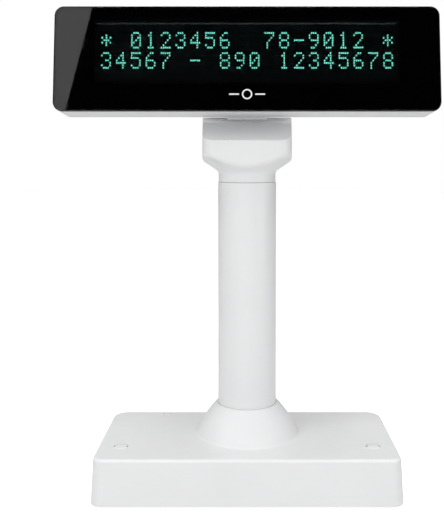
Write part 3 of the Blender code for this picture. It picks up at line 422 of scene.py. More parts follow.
def rubbed_edges():
    """How near a spot is to an edge that hands and cloths rub, broken up so that it isn't a line."""
    group, given, result = new_group(
        "rubbed edges", {"Vector": (VECTOR, None), "Reach": (FLOAT, 0.5 * MM)}, ("Mask",)
    )
    round_normal = node(group, "ShaderNodeBevel", {"Radius": given["Reach"]}, samples=4).outputs[0]
    true_normal = group.nodes.new("ShaderNodeNewGeometry").outputs["Normal"]
    same = node(group, "ShaderNodeVectorMath", {0: round_normal, 1: true_normal}, operation="DOT_PRODUCT")
    near = spread(group, same.outputs["Value"], 0.999, 0.93)
    patchy = spread(group, noise(group, given["Vector"], 220.0, 3.0), 0.35, 0.65)
    feed(result, {"Mask": maths(group, "MULTIPLY", near, patchy)})
    return group


def settled_dust():
    """Where dust lies: on what faces up, in soft patches."""
    group, given, result = new_group("settled dust", {"Vector": (VECTOR, None)}, ("Mask",))
    normal = group.nodes.new("ShaderNodeNewGeometry").outputs["Normal"]
    rise = node(group, "ShaderNodeSeparateXYZ", {0: normal}).outputs["Z"]
    up = spread(group, rise, 0.55, 0.98)
    patches = spread(group, noise(group, given["Vector"], 60.0, 5.0, 0.65), 0.3, 0.75)
    feed(result, {"Mask": maths(group, "MULTIPLY", up, patches)})
    return group


GRAIN, RUBBED, DUST = moulded_grain(), rubbed_edges(), settled_dust()


def finish(name, color, roughness, metallic=0.0):
    """A new material, its node tree, its Principled shader and its object coordinates."""
    made = bpy.data.materials.new(name)
    made.use_nodes = True
    made.diffuse_color = (*color, 1)
    tree = made.node_tree
    shader = tree.nodes["Principled BSDF"]
    feed(shader, {"Base Color": (*color, 1), "Roughness": roughness, "Metallic": metallic})
    spot = tree.nodes.new("ShaderNodeTexCoord").outputs["Object"]
    return made, tree, shader, spot


def grouped(tree, group, **inputs):
    return node(tree, "ShaderNodeGroup", inputs, node_tree=group).outputs


def bumped(tree, shader, height, depth):
    bump = node(tree, "ShaderNodeBump", {"Height": height, "Distance": depth})
    feed(shader, {"Normal": bump.outputs[0]})


def moulded(name, color, roughness=0.45, depth=0.012 * MM, scale=2600.0, dust=0.10, rub=0.5):
    """Moulded plastic: fine grain, a drift in gloss, polished edges and a little dust on top."""
    made, tree, shader, spot = finish(name, color, roughness)
    grain = grouped(tree, GRAIN, Vector=spot, Scale=scale)
    edge = grouped(tree, RUBBED, Vector=spot)["Mask"]
    dusty = maths(tree, "MULTIPLY", grouped(tree, DUST, Vector=spot)["Mask"], dust)
    deeper, lighter = [c * 0.965 for c in color], [min(1.0, c * 1.05 + 0.01) for c in color]
    toned = tinted(tree, spread(tree, grain["Drift"], 0.3, 0.7), deeper, color)
    rubbed = tinted(tree, maths(tree, "MULTIPLY", edge, rub), toned, lighter)
    feed(shader, {"Base Color": tinted(tree, dusty, rubbed, (0.50, 0.48, 0.45))})
    gloss = spread(tree, grain["Drift"], 0.25, 0.75, roughness - 0.05, roughness + 0.06)
    gloss = maths(tree, "SUBTRACT", gloss, maths(tree, "MULTIPLY", edge, 0.10))
    gloss = maths(tree, "ADD", gloss, maths(tree, "MULTIPLY", dusty, 1.2))
    feed(shader, {"Roughness": gloss})
    bumped(tree, shader, grain["Height"], depth)
    return made


def clear(name, color, roughness, ior, smear):
    """Glass or acrylic: clear, with faint wipe marks in its gloss."""
    made, tree, shader, spot = finish(name, color, roughness)
    feed(shader, {"Transmission Weight": 1.0})
    feed(shader, {"IOR": ior})
    stretch = node(tree, "ShaderNodeMapping", {"Vector": spot, "Scale": (1.0, 1.0, 3.5)}).outputs[0]
    marks = spread(tree, noise(tree, stretch, 34.0, 5.0, 0.62), 0.48, 0.8, roughness, roughness + smear)
    feed(shader, {"Roughness": marks})
    return made


def plated(name, color, roughness=0.3):
    """Zinc-plated steel: rolling marks, a faint bloom and brighter edges."""
    made, tree, shader, spot = finish(name, color, roughness, 1.0)
    rolled = node(tree, "ShaderNodeMapping", {"Vector": spot, "Scale": (0.08, 1.0, 1.0)}).outputs[0]
    marks = noise(tree, rolled, 2200.0, 3.0)
    bloom = spread(tree, noise(tree, spot, 240.0, 4.0, 0.6), 0.35, 0.7)
    edge = grouped(tree, RUBBED, Vector=spot, Reach=0.25 * MM)["Mask"]
    dull = [c * 0.78 for c in color]
    shade = tinted(tree, bloom, color, dull)
    feed(shader, {"Base Color": tinted(tree, edge, shade, (0.88, 0.88, 0.89))})
    feed(shader, {"Roughness": spread(tree, marks, 0.2, 0.8, roughness - 0.06, roughness + 0.14)})
    bumped(tree, shader, marks, 0.004 * MM)
    return made


def laminate():
    """A board's green solder mask over its copper tracks, which show as slightly raised lines."""
    made, tree, shader, spot = finish("board laminate", (0.02, 0.16, 0.07), 0.35)
    flat = node(tree, "ShaderNodeMapping", {"Vector": spot, "Rotation": (math.pi / 2, 0, 0)}).outputs[0]
    tracks = node(tree, "ShaderNodeTexBrick", {
        "Vector": flat, "Scale": 150.0, "Mortar Size": 0.06, "Mortar Smooth": 0.1,
        "Brick Width": 1.7, "Row Height": 0.4,
    }, offset=0.37, squash=0.7, squash_frequency=3).outputs["Fac"]
    feed(shader, {"Base Color": tinted(tree, tracks, (0.012, 0.11, 0.05), (0.04, 0.24, 0.10))})
    feed(shader, {"Roughness": spread(tree, noise(tree, spot, 400.0), 0.3, 0.7, 0.28, 0.42)})
    bumped(tree, shader, tracks, 0.03 * MM)
    return made


def phosphor(name, color, strength, rest):
    """The characters' phosphor: lit, it glows a little unevenly; unlit, it lies pale, and its small
    emission is a faint painted glow.
    """
    made, tree, shader, spot = finish(name, rest, 0.8)
    uneven = spread(tree, noise(tree, spot, 900.0, 2.0), 0.3, 0.7)
    feed(shader, {"Emission Strength": strength})
    dimmer = [c * 0.82 for c in color]
    feed(shader, {"Emission Color": tinted(tree, uneven, dimmer, color)})
    feed(shader, {"Base Color": tinted(tree, uneven, [c * 0.85 for c in rest], rest)})
    return made


COVER_PLASTIC = moulded("cover plastic", (0.80, 0.805, 0.81))
NECK_PLASTIC = moulded("neck plastic", (0.79, 0.795, 0.80), 0.42)
HEAD_PLASTIC = moulded("head plastic", (0.80, 0.805, 0.81), 0.44)
POLE_PLASTIC = moulded("extruded pole plastic", (0.79, 0.795, 0.80), 0.38, 0.006 * MM, 1500.0)
BLACK_PLASTIC = moulded("moulded black", (0.018, 0.018, 0.020), 0.48, 0.010 * MM, 3200.0, 0.05, 0.3)
CHIP_RESIN = moulded("chip resin", (0.022, 0.022, 0.024), 0.6, 0.015 * MM, 4200.0, 0.03, 0.2)
ACETAL = moulded("natural acetal", (0.72, 0.70, 0.64), 0.36, 0.004 * MM, 1800.0, 0.0, 0.2)
RUBBER = moulded("foot rubber", (0.030, 0.030, 0.031), 0.82, 0.03 * MM, 1400.0, 0.2, 0.1)
SHEATH = moulded("lead sheath", (0.20, 0.205, 0.21), 0.5, 0.01 * MM, 1600.0, 0.0, 0.2)
BALLAST_PAINT = moulded("ballast paint", (0.05, 0.05, 0.055), 0.55, 0.03 * MM, 900.0, 0.05, 0.8)
BLACK_PRINT = moulded("black print", (0.004, 0.004, 0.004), 0.7, 0.004 * MM, 5200.0, 0.0, 0.0)
feed(BLACK_PRINT.node_tree.nodes["Principled BSDF"], {"Specular IOR Level": 0.05})
WHITE_PRINT = moulded("white print", (0.86, 0.86, 0.86), 0.5, 0.006 * MM, 4200.0, 0.0, 0.0)
ANODE_PLATE = moulded("anode plate", (0.075, 0.08, 0.083), 0.7, 0.01 * MM, 3800.0, 0.0, 0.0)
ACRYLIC = clear("smoked acrylic", (0.34, 0.35, 0.37), 0.012, 1.49, 0.04)
TUBE_GLASS = clear("display glass", (0.93, 0.97, 0.96), 0.01, 1.52, 0.02)
STEEL = plated("zinc plated steel", (0.60, 0.61, 0.63))
TIN = plated("tinned leads", (0.74, 0.74, 0.75), 0.26)
GOLD = plated("gilt contacts", (0.83, 0.62, 0.28), 0.24)
TUNGSTEN = plated("heater wire", (0.10, 0.10, 0.105), 0.4)
LAMINATE = laminate()
LIT = phosphor("lit phosphor", (0.24, 1.0, 0.76), 3.6, (0.30, 0.40, 0.36))
# the unlit dots keep a faint emission: a painted glow, since nothing lights them
UNLIT_PAINTED_GLOW = phosphor("unlit phosphor", (0.02, 0.10, 0.08), 0.03, (0.035, 0.042, 0.040))


# ---------------------------------------------------------------- base

BASE_TOP, BASE_WALL, BASE_LEAN = 24.2 * MM, 2.2 * MM, 1.0 * MM
BASE_CORNERS, BASE_FILLET = (6 * MM, 8 * MM), 1.5 * MM
CONE_TOP_R, CONE_FOOT_R, CONE_BULGE, CONE_FOOT_FILLET = 17.1 * MM, 28.3 * MM, 3.4 * MM, 0.6 * MM
CAP_PLAY = 0.12 * MM
POLE_R = half_width("pole_tube")


def base_outline(inset, bottom, top):
    """A block on the base's outline, moved in by inset, whose sides lean in as they rise."""
    low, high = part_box("base_cover")
    half_w, half_d = high.x - inset, high.y - inset
    obj = slab(about(0, half_w), about(0, half_d), (bottom, top))
    front, rear = (corner - inset for corner in BASE_CORNERS)
    bevel(obj, lambda edge: along(edge, 2) and middle(edge).y < 0, front, 10)
    bevel(obj, lambda edge: along(edge, 2) and middle(edge).y > half_d / 2, rear, 10)
    lean = BASE_LEAN * (top - low.z) / (BASE_TOP - low.z)
    with shaping(obj):
        pick(obj, "VERT", lambda vert: vert.co.z > (bottom + top) / 2)
        narrower = ((half_w - lean) / half_w, (half_d - lean) / half_d, 1)
        bpy.ops.transform.resize(value=narrower, center_override=(0, 0, top))
    return obj


def cone_radius(height, top):
    """The cone's radius at a height: its side bows out a little."""
    drop = (top - height) / (top - BASE_TOP)
    return CONE_TOP_R + (CONE_FOOT_R - CONE_TOP_R) * drop + CONE_BULGE * drop * (1 - drop)


def cone():
    """The flared foot of the pole, with a small fillet where it meets the base's top."""
    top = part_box("base_cover")[1].z
    edge = 0.35 * MM
    profile = [(CONE_TOP_R - edge, top), (CONE_TOP_R - 0.1 * MM, top - 0.3 * edge)]
    side_foot = BASE_TOP + CONE_FOOT_FILLET
    steps = 14
    for i in range(1, steps + 1):
        height = top + (side_foot - top) * i / steps
        profile.append((cone_radius(height, top), height))
    toward = Vector((CONE_FOOT_R + 0.05 * MM, BASE_TOP))
    end = Vector((CONE_FOOT_R + 0.8 * MM, BASE_TOP + 0.02 * MM))
    profile += curved(Vector(profile[-1]), toward, end, 6)[1:]
    profile.append((end.x, BASE_TOP - BASE_WALL / 2))
    return lay(turned(profile, 128), "Z", (0, POLE.y, 0))


def cone_room():
    """The hollow between the cone's skin and the sleeve round the pole."""
    top, sleeve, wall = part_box("base_cover")[1].z, POLE_R + 2.8 * MM, 2.5 * MM
    low = BASE_TOP - BASE_WALL - PAST
    profile = [
        (sleeve + 0.3 * MM, top - 6 * MM), (cone_radius(BASE_TOP + 3 * MM, top) - wall, BASE_TOP + 3 * MM),
        (CONE_FOOT_R - wall, BASE_TOP), (CONE_FOOT_R - wall, low), (sleeve, low), (sleeve, top - 6 * MM),
    ]
    return lay(turned(profile, 96, ring=True), "Z", (0, POLE.y, 0))


def base_cover():
    """The cover with its cone, hollow inside, with the posts and holes for its screws and caps."""
    low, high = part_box("base_cover")
    cover = base_outline(0, low.z, BASE_TOP)
    bevel(cover, on_plane(2, BASE_TOP), BASE_FILLET, 8)
    bevel(cover, on_plane(2, low.z), 0.35 * MM, 2)
    weld(cover, cone())
    ceiling = BASE_TOP - BASE_WALL
    cut(cover, base_outline(BASE_WALL, low.z - PAST, ceiling), cone_room())
    plate_top, board_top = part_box("base_plate")[1].z + PLAY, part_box("interface_board")[1].z + PLAY
    above, cap_r = BASE_TOP + PAST, half_width("anchor_cap_left") + CAP_PLAY
    posts, holes = [], []
    for kind, post_r, foot_z, hole_r, hole_top, sides in (
        ("cover_screw", 3.5 * MM, plate_top, 1.5 * MM, 13 * MM, (32, 32)),
        ("board_screw", 3 * MM, board_top, 1.5 * MM, 16 * MM, (32, 32)),
        ("anchor_cap", 5.6 * MM, plate_top, cap_r, above, (40, 48)),
    ):
        for name in nodes_called(kind):
            at = centre_of(name)
            posts.append(rod(post_r, (foot_z, ceiling + MM), "Z", at, sides[0]))
            holes.append(rod(hole_r, (0, hole_top), "Z", at, sides[1]))
    weld(cover, together(posts))
    plug_r = half_width("rear_plug") + CAP_PLAY
    holes.append(rod(plug_r, (ceiling - PAST, above), "Z", centre_of("rear_plug")))
    cut(cover, together(holes))
    cut(cover, rod(POLE_R + 0.2 * MM, (ceiling - PAST, high.z + PAST), "Z", POLE, 126))
    socket_low, socket_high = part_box("data_socket")
    port_x = (socket_low.x + 1.4 * MM, socket_high.x - 1.4 * MM)
    port_z = (socket_low.z + 2.2 * MM, socket_low.z + 11.4 * MM)
    cut(cover, rounded_slab(port_x, (high.y - 6 * MM, high.y + PAST), port_z, 1, 0.8 * MM, 5))
    done(cover, "base_shell", COVER_PLASTIC, "base_cover")


def press_in_cap(node, name):
    """A domed round plug with a small prying notch at its left and right."""
    low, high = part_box(node)
    radius, at = half_width(node), centre_of(node)
    falls = ((0.05, 0), (0.45, 0.03), (0.8, 0.12), (0.93, 0.22), (1, 0.45))
    dome = [(share * radius, high.z - fall * MM) for share, fall in falls] + [(radius, low.z)]
    cap = lay(turned(dome, 48), "Z", (at.x, at.y, 0))
    reach, half = 0.30 * radius, 0.20 * radius
    for side in (-1, 1):
        x = sorted((at.x + side * (radius - reach), at.x + side * (radius + MM)))
        cut(cap, slab(x, about(at.y, half), (high.z - 0.9 * MM, high.z + MM)))
    done(cap, name, COVER_PLASTIC, node)


def foot(node, name):
    """A rubber foot with a rounded rim and a shallow dished face."""
    top, radius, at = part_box(node)[1].z, half_width(node), centre_of(node)
    profile = [(radius - 0.1 * MM, top), (radius, top - 0.15 * MM)]
    for i in range(5):
        angle = math.pi / 8 * i
        profile.append((radius - 0.5 * MM * (1 - math.cos(angle)), 0.5 * MM * (1 - math.sin(angle))))
    profile += [(radius - 1.1 * MM, 0), (radius - 1.5 * MM, 0.25 * MM), (0.3 * radius, 0.3 * MM)]
    done(lay(turned(profile, 48), "Z", (at.x, at.y, 0)), name, RUBBER, node)


def contacts(low, high):
    """The socket's row of spring contacts: each slopes down from the rear of the mouth."""
    count, pitch, width, thick, drop = 8, 1.02 * MM, 0.45 * MM, 0.3 * MM, 2.2 * MM
    top, y = high.z - 2.45 * MM, (high.y - 11.5 * MM, high.y - 3.2 * MM)
    row = []
    for i in range(count):
        x = (low.x + high.x) / 2 + (i - (count - 1) / 2) * pitch
        blade = slab(about(x, width / 2), y, (top - thick, top))
        with shaping(blade):
            pick(blade, "VERT", lambda vert: vert.co.y < high.y - 8 * MM)
            bpy.ops.transform.translate(value=(0, 0, -drop))
        row.append(blade)
    done(together(row), "socket_contacts", GOLD, body="base")


def data_socket():
    low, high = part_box("data_socket")
    socket = node_slab("data_socket", 0.5 * MM, segments=3)
    mouth_low, mid = low.z + 3.4 * MM, (low.x + high.x) / 2
    z, latch_z = (mouth_low, mouth_low + 6.8 * MM), (low.z + 1.8 * MM, mouth_low + MM)
    mouth = slab(about(mid, 5.9 * MM), (high.y - 12 * MM, high.y + PAST), z)
    latch = slab(about(mid, 3 * MM), (high.y - 6 * MM, high.y + PAST), latch_z)
    cut(socket, mouth, latch)
    ease(socket, 0.2 * MM, 50)
    done(socket, "data_socket_housing", BLACK_PLASTIC, "data_socket")
    contacts(low, high)


def small_parts(board, name, axis, spots):
    """Chip resistors and capacitors in a scatter on a board, each a tiny block with eased edges."""
    low, high = own_box(board)
    parts = []
    for i, (across, up, long, wide) in enumerate(spots):
        x = low.x + across * (high.x - low.x)
        half_l, half_w, tall = long * MM / 2, wide * MM / 2, (0.5 + 0.2 * (i % 3)) * MM
        if axis == "Z":
            y = low.y + up * (high.y - low.y)
            span = (about(x, half_l), about(y, half_w), (high.z + 0.02 * MM, high.z + tall))
        else:
            z = low.z + up * (high.z - low.z)
            span = (about(x, half_l), (high.y + 0.02 * MM, high.y + tall), about(z, half_w))
        parts.append(ease(slab(*span), 0.08 * MM))
    done(together(parts), name, CHIP_RESIN, body=frame["nodes"][board]["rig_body"])


def base():
    base_cover()
    press_in_cap("anchor_cap_left", "left_anchor_cap")
    press_in_cap("anchor_cap_right", "right_anchor_cap")
    press_in_cap("rear_plug", "small_rear_plug")
    for corner in ("front_left", "front_right", "rear_left", "rear_right"):
        foot(f"foot_{corner}", f"{corner}_rubber_foot")
    refined("base_plate", "bottom_plate", STEEL, 0.15 * MM)
    refined("ballast_block", "cast_ballast", BALLAST_PAINT, 0.6 * MM)
    refined("interface_board", "interface_laminate", LAMINATE, 0)
    refined("board_plug", "lead_plug_on_board", BLACK_PLASTIC, 0.3 * MM)
    spots = [(0.42, 0.2, 1.6, 0.8), (0.52, 0.22, 1.6, 0.8), (0.5, 0.55, 4.0, 4.0), (0.62, 0.8, 2.0, 1.2),
             (0.7, 0.86, 1.2, 0.8), (0.46, 0.86, 3.0, 1.6), (0.9, 0.2, 1.6, 0.8)]
    small_parts("interface_board", "interface_parts", "Z", spots)
    data_socket()
    refined("pole_socket", "pole_seat", ACETAL)


# ---------------------------------------------------------------- screws

def machine_screw(node, name, axis, head_high, head_t, shank_r):
    """A pan-head screw with a cross recess and a ridged shank, head towards + or - on its axis."""
    low, high = own_box(node)
    i = "XYZ".index(axis)
    across = (i + 1) % 3
    radius, length = (high[across] - low[across]) / 2, high[i] - low[i] - head_t
    crown = ((0.30, 1), (0.60, 0.97), (0.82, 0.82), (0.95, 0.58), (1, 0.3), (0.98, 0))
    profile = [*scaled(radius, head_t, crown), (shank_r, 0)]
    pitch = 0.8 * MM
    ridges = max(2, int((length - 2 * shank_r) / pitch))
    core_r = 0.78 * shank_r
    for ridge in range(ridges):
        start = -0.4 * MM - ridge * pitch
        profile += [(core_r, start), (shank_r, start - 0.3 * MM), (core_r, start - 0.62 * MM)]
    profile += [(core_r, -length + shank_r), (0.12 * shank_r, -length)]
    screw = turned(profile, 32)
    slot, arm = 0.13 * radius, 0.62 * radius
    deep = (0.35 * head_t, head_t + MM)
    cut(screw, *(slab(about(0, x), about(0, y), deep) for x, y in ((arm, slot), (slot, arm))))
    seat = list((low + high) / 2)
    seat[i] = high[i] - head_t if head_high else low[i] + head_t
    lay(screw, axis, seat, not head_high)
    done(screw, name, STEEL, node)


SCREWS = (                          # nodes, name, axis, head towards +, head height, shank radius
    ("cover_screw", "cover_fixing_{}", "Z", False, 1.9 * MM, 1.2 * MM),
    ("case_screw", "case_fixing_{}", "Y", True, 1.8 * MM, 1.2 * MM),
    ("board_screw", "interface_fixing_{}", "Z", False, 1.3 * MM, 1.1 * MM),
    ("control_board_screw", "control_board_fixing_{}", "Y", False, 1.3 * MM, 1.1 * MM),
    ("flange_screw", "flange_fixing_{}", "Z", False, 1.9 * MM, 1.2 * MM),
    ("neck_screw", "{}_neck_fixing", "Y", True, 1.0 * MM, 0.9 * MM),
)


def screws():
    for kind, name, *shape in SCREWS:
        for node in nodes_called(kind):
            machine_screw(node, name.format(node.split("_")[-1]), *shape)


# ---------------------------------------------------------------- pole

def pole():
    low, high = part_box("pole_tube")
    edge, bore = 0.12 * MM, 12.6 * MM
    rim = POLE_R - edge
    profile = [(bore, high.z), (rim, high.z), (POLE_R, high.z - edge)]
    profile += [(POLE_R, low.z + edge), (rim, low.z), (bore, low.z)]
    tube = lay(turned(profile, 128, ring=True), "Z", (0, POLE.y, 0))
    done(tube, "pole", POLE_PLASTIC, "pole_tube")
    refined("swivel_bush", "swivel_bearing", ACETAL)
    refined("lead_pole", "lead_in_pole", SHEATH, 0)


# ---------------------------------------------------------------- neck, in its own axes: the pole's is Z

NECK_CORNER, NECK_FRONT_W, SHOULDER_EDGE, FLARE_EDGE = 6.5 * MM, 47.4 * MM, 0.4 * MM, 1.5 * MM
COLLAR_R, FLARE_Z, FLARE_ANGLE, FLARE_FILLET = 15.7 * MM, 168.3 * MM, math.radians(34), 2.2 * MM
SLOPE_Z, SLOPE_ANGLE, SLOPE_RUN = 184.4 * MM, math.radians(27), 26.5 * MM
SPIGOT_R, SPIGOT_BORE_R, STOP_GROOVE = 9 * MM, 5.5 * MM, (9.7 * MM, 12.7 * MM, 2.1 * MM)
KNUCKLE_R, KNUCKLE_BORE_R = 7.5 * MM, 4.6 * MM
NECK_HALF_D, NECK_BLOCK_TOP, FLARE_RIM_Z = 20 * MM, 198.6 * MM, (163 * MM, 184 * MM)
NECK_ROOM_X, NECK_ROOM_Z, NECK_ROOM_SPLIT = 16 * MM, (174.5 * MM, 190.8 * MM), 181.2 * MM
NECK_FRONT_WALLS = (5.5 * MM, 17.5 * MM)     # in front of the room, below and above its split
TOWER_FOOT, TOWER_FRONT, TOWER_BORE_R = 185 * MM, 5.9 * MM, 3.6 * MM


def neck_bounds():
    """The housing's block, without the tower: its half width, half depth and the collar's foot."""
    return half_width("neck_housing"), NECK_HALF_D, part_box("pole_tube")[1].z + 0.12 * MM


def flare():
    """The neck's turned shape: a wide flare, a soft bend into the collar, and the spigot below it."""
    half_w, half_d, foot_z = neck_bounds()
    wide = math.hypot(half_w, half_d) + 6 * MM
    slope = math.tan(FLARE_ANGLE)
    meet = Vector((COLLAR_R, FLARE_Z - 0.6 * MM))
    out = Vector((math.cos(FLARE_ANGLE), math.sin(FLARE_ANGLE))) * FLARE_FILLET
    start, end = meet + out, meet - Vector((0, FLARE_FILLET * 0.8))
    profile = [(wide, 199 * MM), (wide, start.y + (wide - start.x) * slope)]
    profile += curved(start, meet, end, 8)
    edge = 0.1 * MM
    profile += [(COLLAR_R, foot_z + edge), (COLLAR_R - edge, foot_z), (SPIGOT_R, foot_z)]
    low = own_box("neck_housing")[0].z
    groove = own_box("retaining_clip")
    groove_top, groove_low = groove[1].z + 0.2 * MM, groove[0].z - 0.2 * MM
    groove_r, tip = SPIGOT_R - 0.8 * MM, 0.4 * MM
    profile += [(SPIGOT_R, groove_top), (groove_r, groove_top), (groove_r, groove_low)]
    profile += [(SPIGOT_R, groove_low), (SPIGOT_R, low + tip), (SPIGOT_R - tip, low)]
    return turned(profile, 160)


def above_shoulder():
    """Two cutters: what lies over the sloping shoulder, and what lies over the flat top behind it."""
    half_w, half_d = neck_bounds()[:2]
    flat = SLOPE_Z + SLOPE_RUN * math.tan(SLOPE_ANGLE)
    wide = (-2 * half_w, 2 * half_w)
    level = slab(wide, about(0, 60 * MM), (flat, flat + 40 * MM))
    sloped = slab(wide, (-30 * MM, 60 * MM), (0, 40 * MM))
    tip = Matrix.Translation((0, -half_d, SLOPE_Z)) @ Matrix.Rotation(SLOPE_ANGLE, 4, "X")
    return level, moved(sloped, tip)


def neck_housing():
    """The block that widens to the rear, flared below and sloped above, with the hinge's tower, the
    room for the lead and its cover's posts, the swivel's stop groove, and the bores."""
    low = own_box("neck_housing")[0]
    half_w, half_d, foot_z = neck_bounds()
    housing = slab(about(0, half_w), about(0, half_d), (low.z - PAST, NECK_BLOCK_TOP))
    with shaping(housing):
        pick(housing, "VERT", lambda vert: vert.co.y < 0)
        bpy.ops.transform.resize(value=(NECK_FRONT_W / 2 / half_w, 1, 1), center_override=(0, 0, 0))
    bevel(housing, lambda edge: along(edge, 2), NECK_CORNER, 12)
    worked(housing, "INTERSECT", flare())
    bend(housing, lambda at: FLARE_RIM_Z[0] < at.z < FLARE_RIM_Z[1], FLARE_EDGE, 5)
    cut(housing, *above_shoulder())
    bend(housing, lambda at: at.z > FLARE_RIM_Z[1], SHOULDER_EDGE, 3)
    axle = (HINGE.y - POLE.y, HINGE.z)
    knuckle_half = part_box("friction_washer_right")[0].x - PLAY
    depth = (axle[0] - TOWER_FRONT, axle[0] + KNUCKLE_R - 0.1 * MM)
    tower = slab(about(0, knuckle_half), depth, (TOWER_FOOT, axle[1]))
    weld(tower, rod(KNUCKLE_R, about(0, knuckle_half), "X", axle, 72))
    ease(tower, 0.3 * MM, 50)
    weld(housing, tower)
    lower, upper = (
        slab(about(0, NECK_ROOM_X), (-half_d + wall, half_d + PAST), z)
        for wall, z in zip(NECK_FRONT_WALLS, (
            (NECK_ROOM_Z[0], NECK_ROOM_SPLIT), (NECK_ROOM_SPLIT - 0.2 * MM, NECK_ROOM_Z[1]),
        ))
    )
    cut(housing, weld(lower, upper))
    for side in ("left", "right"):
        at = centre_of(f"neck_screw_{side}")
        away = math.copysign(1, at.x)
        x = sorted((at.x - away * 2.6 * MM, away * (NECK_ROOM_X + MM)))
        post = slab(x, (8.5 * MM, half_d - 2.9 * MM), about(at.z, 3.3 * MM))
        weld(housing, post)
        cut(housing, rod(1.2 * MM, (11 * MM, half_d), "Y", at, 24))
    inner, outer, tall = STOP_GROOVE
    top, below = foot_z + tall, foot_z - PAST
    groove = turned([(outer, top), (outer, below), (inner, below), (inner, top)], 96, ring=True)
    cut(groove, slab(about(0, 1.2 * MM), (8 * MM, 15 * MM), about(foot_z, 9 * MM)))
    cut(
        housing, groove,
        rod(SPIGOT_BORE_R, (low.z - PAST, NECK_ROOM_Z[0] + MM), "Z", (0, 0), 48),
        rod(TOWER_BORE_R, (TOWER_FOOT + MM, axle[1]), "Z", (0, axle[0])),
        rod(KNUCKLE_BORE_R, (-knuckle_half - PAST, knuckle_half + PAST), "X", axle, 48),
    )
    done(housing, "neck_shell", NECK_PLASTIC, "neck_housing")


def neck_rear_cover():
    low, high = own_box("neck_rear_cover")
    cover = node_slab("neck_rear_cover", 1.2 * MM, segments=6)
    bevel(cover, on_plane(1, high.y), 0.4 * MM, 3)
    for side in ("left", "right"):
        at = centre_of(f"neck_screw_{side}")
        bore = rod(2.5 * MM, (high.y - 1.2 * MM, high.y + PAST), "Y", at, 32)
        cut(cover, weld(bore, rod(1.4 * MM, (low.y - PAST, high.y), "Y", at, 24)))
    done(cover, "neck_access_cover", NECK_PLASTIC, "neck_rear_cover")


def wave_washer():
    """A spring washer pressed into three waves."""
    low, high = own_box("wave_washer")
    inner, outer, thick = SPIGOT_R + PLAY, high.x, 0.22 * MM
    swing = (high.z - low.z - thick) / 2
    mid = (low.z + high.z) / 2
    under, over = about(mid, thick / 2)
    profile = [(outer, over), (outer, under), (inner, under), (inner, over)]
    sides, waves = 72, 3
    washer = turned(profile, sides, ring=True)
    quarter = sides // waves // 4

    def wave(vert):
        return math.sin(waves * math.atan2(vert.co.y, vert.co.x))

    with shaping(washer):
        for step in range(-quarter, quarter + 1):
            rise = math.sin(math.pi / 2 * step / quarter)
            pick(washer, "VERT", lambda vert: abs(wave(vert) - rise) < 0.01)
            bpy.ops.transform.translate(value=(0, 0, swing * rise))
    done(washer, "spring_washer", STEEL, "wave_washer")


def neck():
    neck_housing()
    neck_rear_cover()
    wave_washer()
    refined("retaining_clip", "spigot_clip", STEEL, 0.1 * MM)
    refined("lead_neck", "lead_in_neck", SHEATH, 0)


# ---------------------------------------------------------------- head, in its own axes: the hinge's is X

HEAD_CORNER, HEAD_WALL = 5 * MM, 2.2 * MM
HEAD_OUTLINE = own_box("front_panel")
HEAD_MID_Z = (HEAD_OUTLINE[0].z + HEAD_OUTLINE[1].z) / 2
HEAD_BACK = HEAD_OUTLINE[0].y + 25 * MM
EAR_INNER = 12.3 * MM
CAP_RECESSES = {-1: 16.6 * MM, 1: 14.6 * MM}     # where each hinge cap's recess starts, left and right
WINDOW_SIZE, WINDOW_Z = (163 * MM, 34 * MM), HEAD_MID_Z + 3.8 * MM
VENT_X, VENT_Z, VENT_SIZE, VENT_STEP, VENT_COUNT = 40 * MM, 31 * MM, (1.8 * MM, 15 * MM), 5 * MM, 8


def window_cutter(low_y, high_y, grow=0.0):
    half_w, half_h = WINDOW_SIZE[0] / 2 + grow, WINDOW_SIZE[1] / 2 + grow
    z = about(WINDOW_Z, half_h)
    return rounded_slab(about(0, half_w), (low_y, high_y), z, 1, 0.8 * MM, 5)


def front_panel():
    """The smoked front: a polished sheet with an eased rim, printed black behind round its window."""
    low, high = HEAD_OUTLINE
    panel = node_slab("front_panel", HEAD_CORNER)
    bevel(panel, on_plane(1, low.y), 0.7 * MM, 5)
    bevel(panel, on_plane(1, high.y), 0.12 * MM, 2)
    done(panel, "smoked_front", ACRYLIC, "front_panel")
    layer = (high.y + 0.04 * MM, high.y + 0.12 * MM)
    border = node_slab("front_panel", HEAD_CORNER - 0.2 * MM, layer, 0.2 * MM)
    cut(border, window_cutter(layer[0] - PAST, layer[1] + PAST))
    done(border, "printed_border", BLACK_PRINT)
    mask = node_slab("window_mask", 1.7 * MM, segments=6)
    cut(mask, window_cutter(*about(high.y, PAST)))
    done(mask, "inner_mask", BLACK_PRINT, "window_mask")
    printed_mark(low.y)


def printed_mark(face_y):
    """A plain ring between two short bars, printed in white under the window."""
    z, layer = HEAD_MID_Z - 19.1 * MM, (face_y - 0.03 * MM, face_y + 0.02 * MM)
    ring_r, line, gap, reach = 2.7 * MM, 0.7 * MM, 1.5 * MM, 9.5 * MM
    disc = rod(ring_r, layer, "Y", (0, z), 64)
    marks = [cut(disc, rod(ring_r - line, about(face_y, PAST), "Y", (0, z), 64))]
    for side in (-1, 1):
        x = sorted((side * (ring_r + gap), side * reach))
        marks.append(rounded_slab(x, layer, about(z, line / 2), 1, 0.3 * MM, 5))
    done(together(marks), "printed_mark", WHITE_PRINT)


def front_frame():
    low, high = own_box("front_frame")
    frame_ring = node_slab("front_frame", HEAD_CORNER)
    bevel(frame_ring, on_plane(1, low.y), 1.0 * MM, 4)
    bevel(frame_ring, on_plane(1, high.y), 0.2 * MM, 2)
    opening = node_slab("window_mask", 2 * MM, (low.y - PAST, high.y + PAST), -PLAY, 6)
    holes = []
    for name in nodes_called("case_screw"):
        holes.append(rod(1.5 * MM, (low.y + 1.6 * MM, high.y + PAST), "Y", centre_of(name), 24))
    cut(frame_ring, opening, together(holes))
    done(frame_ring, "front_bezel", HEAD_PLASTIC, "front_frame")


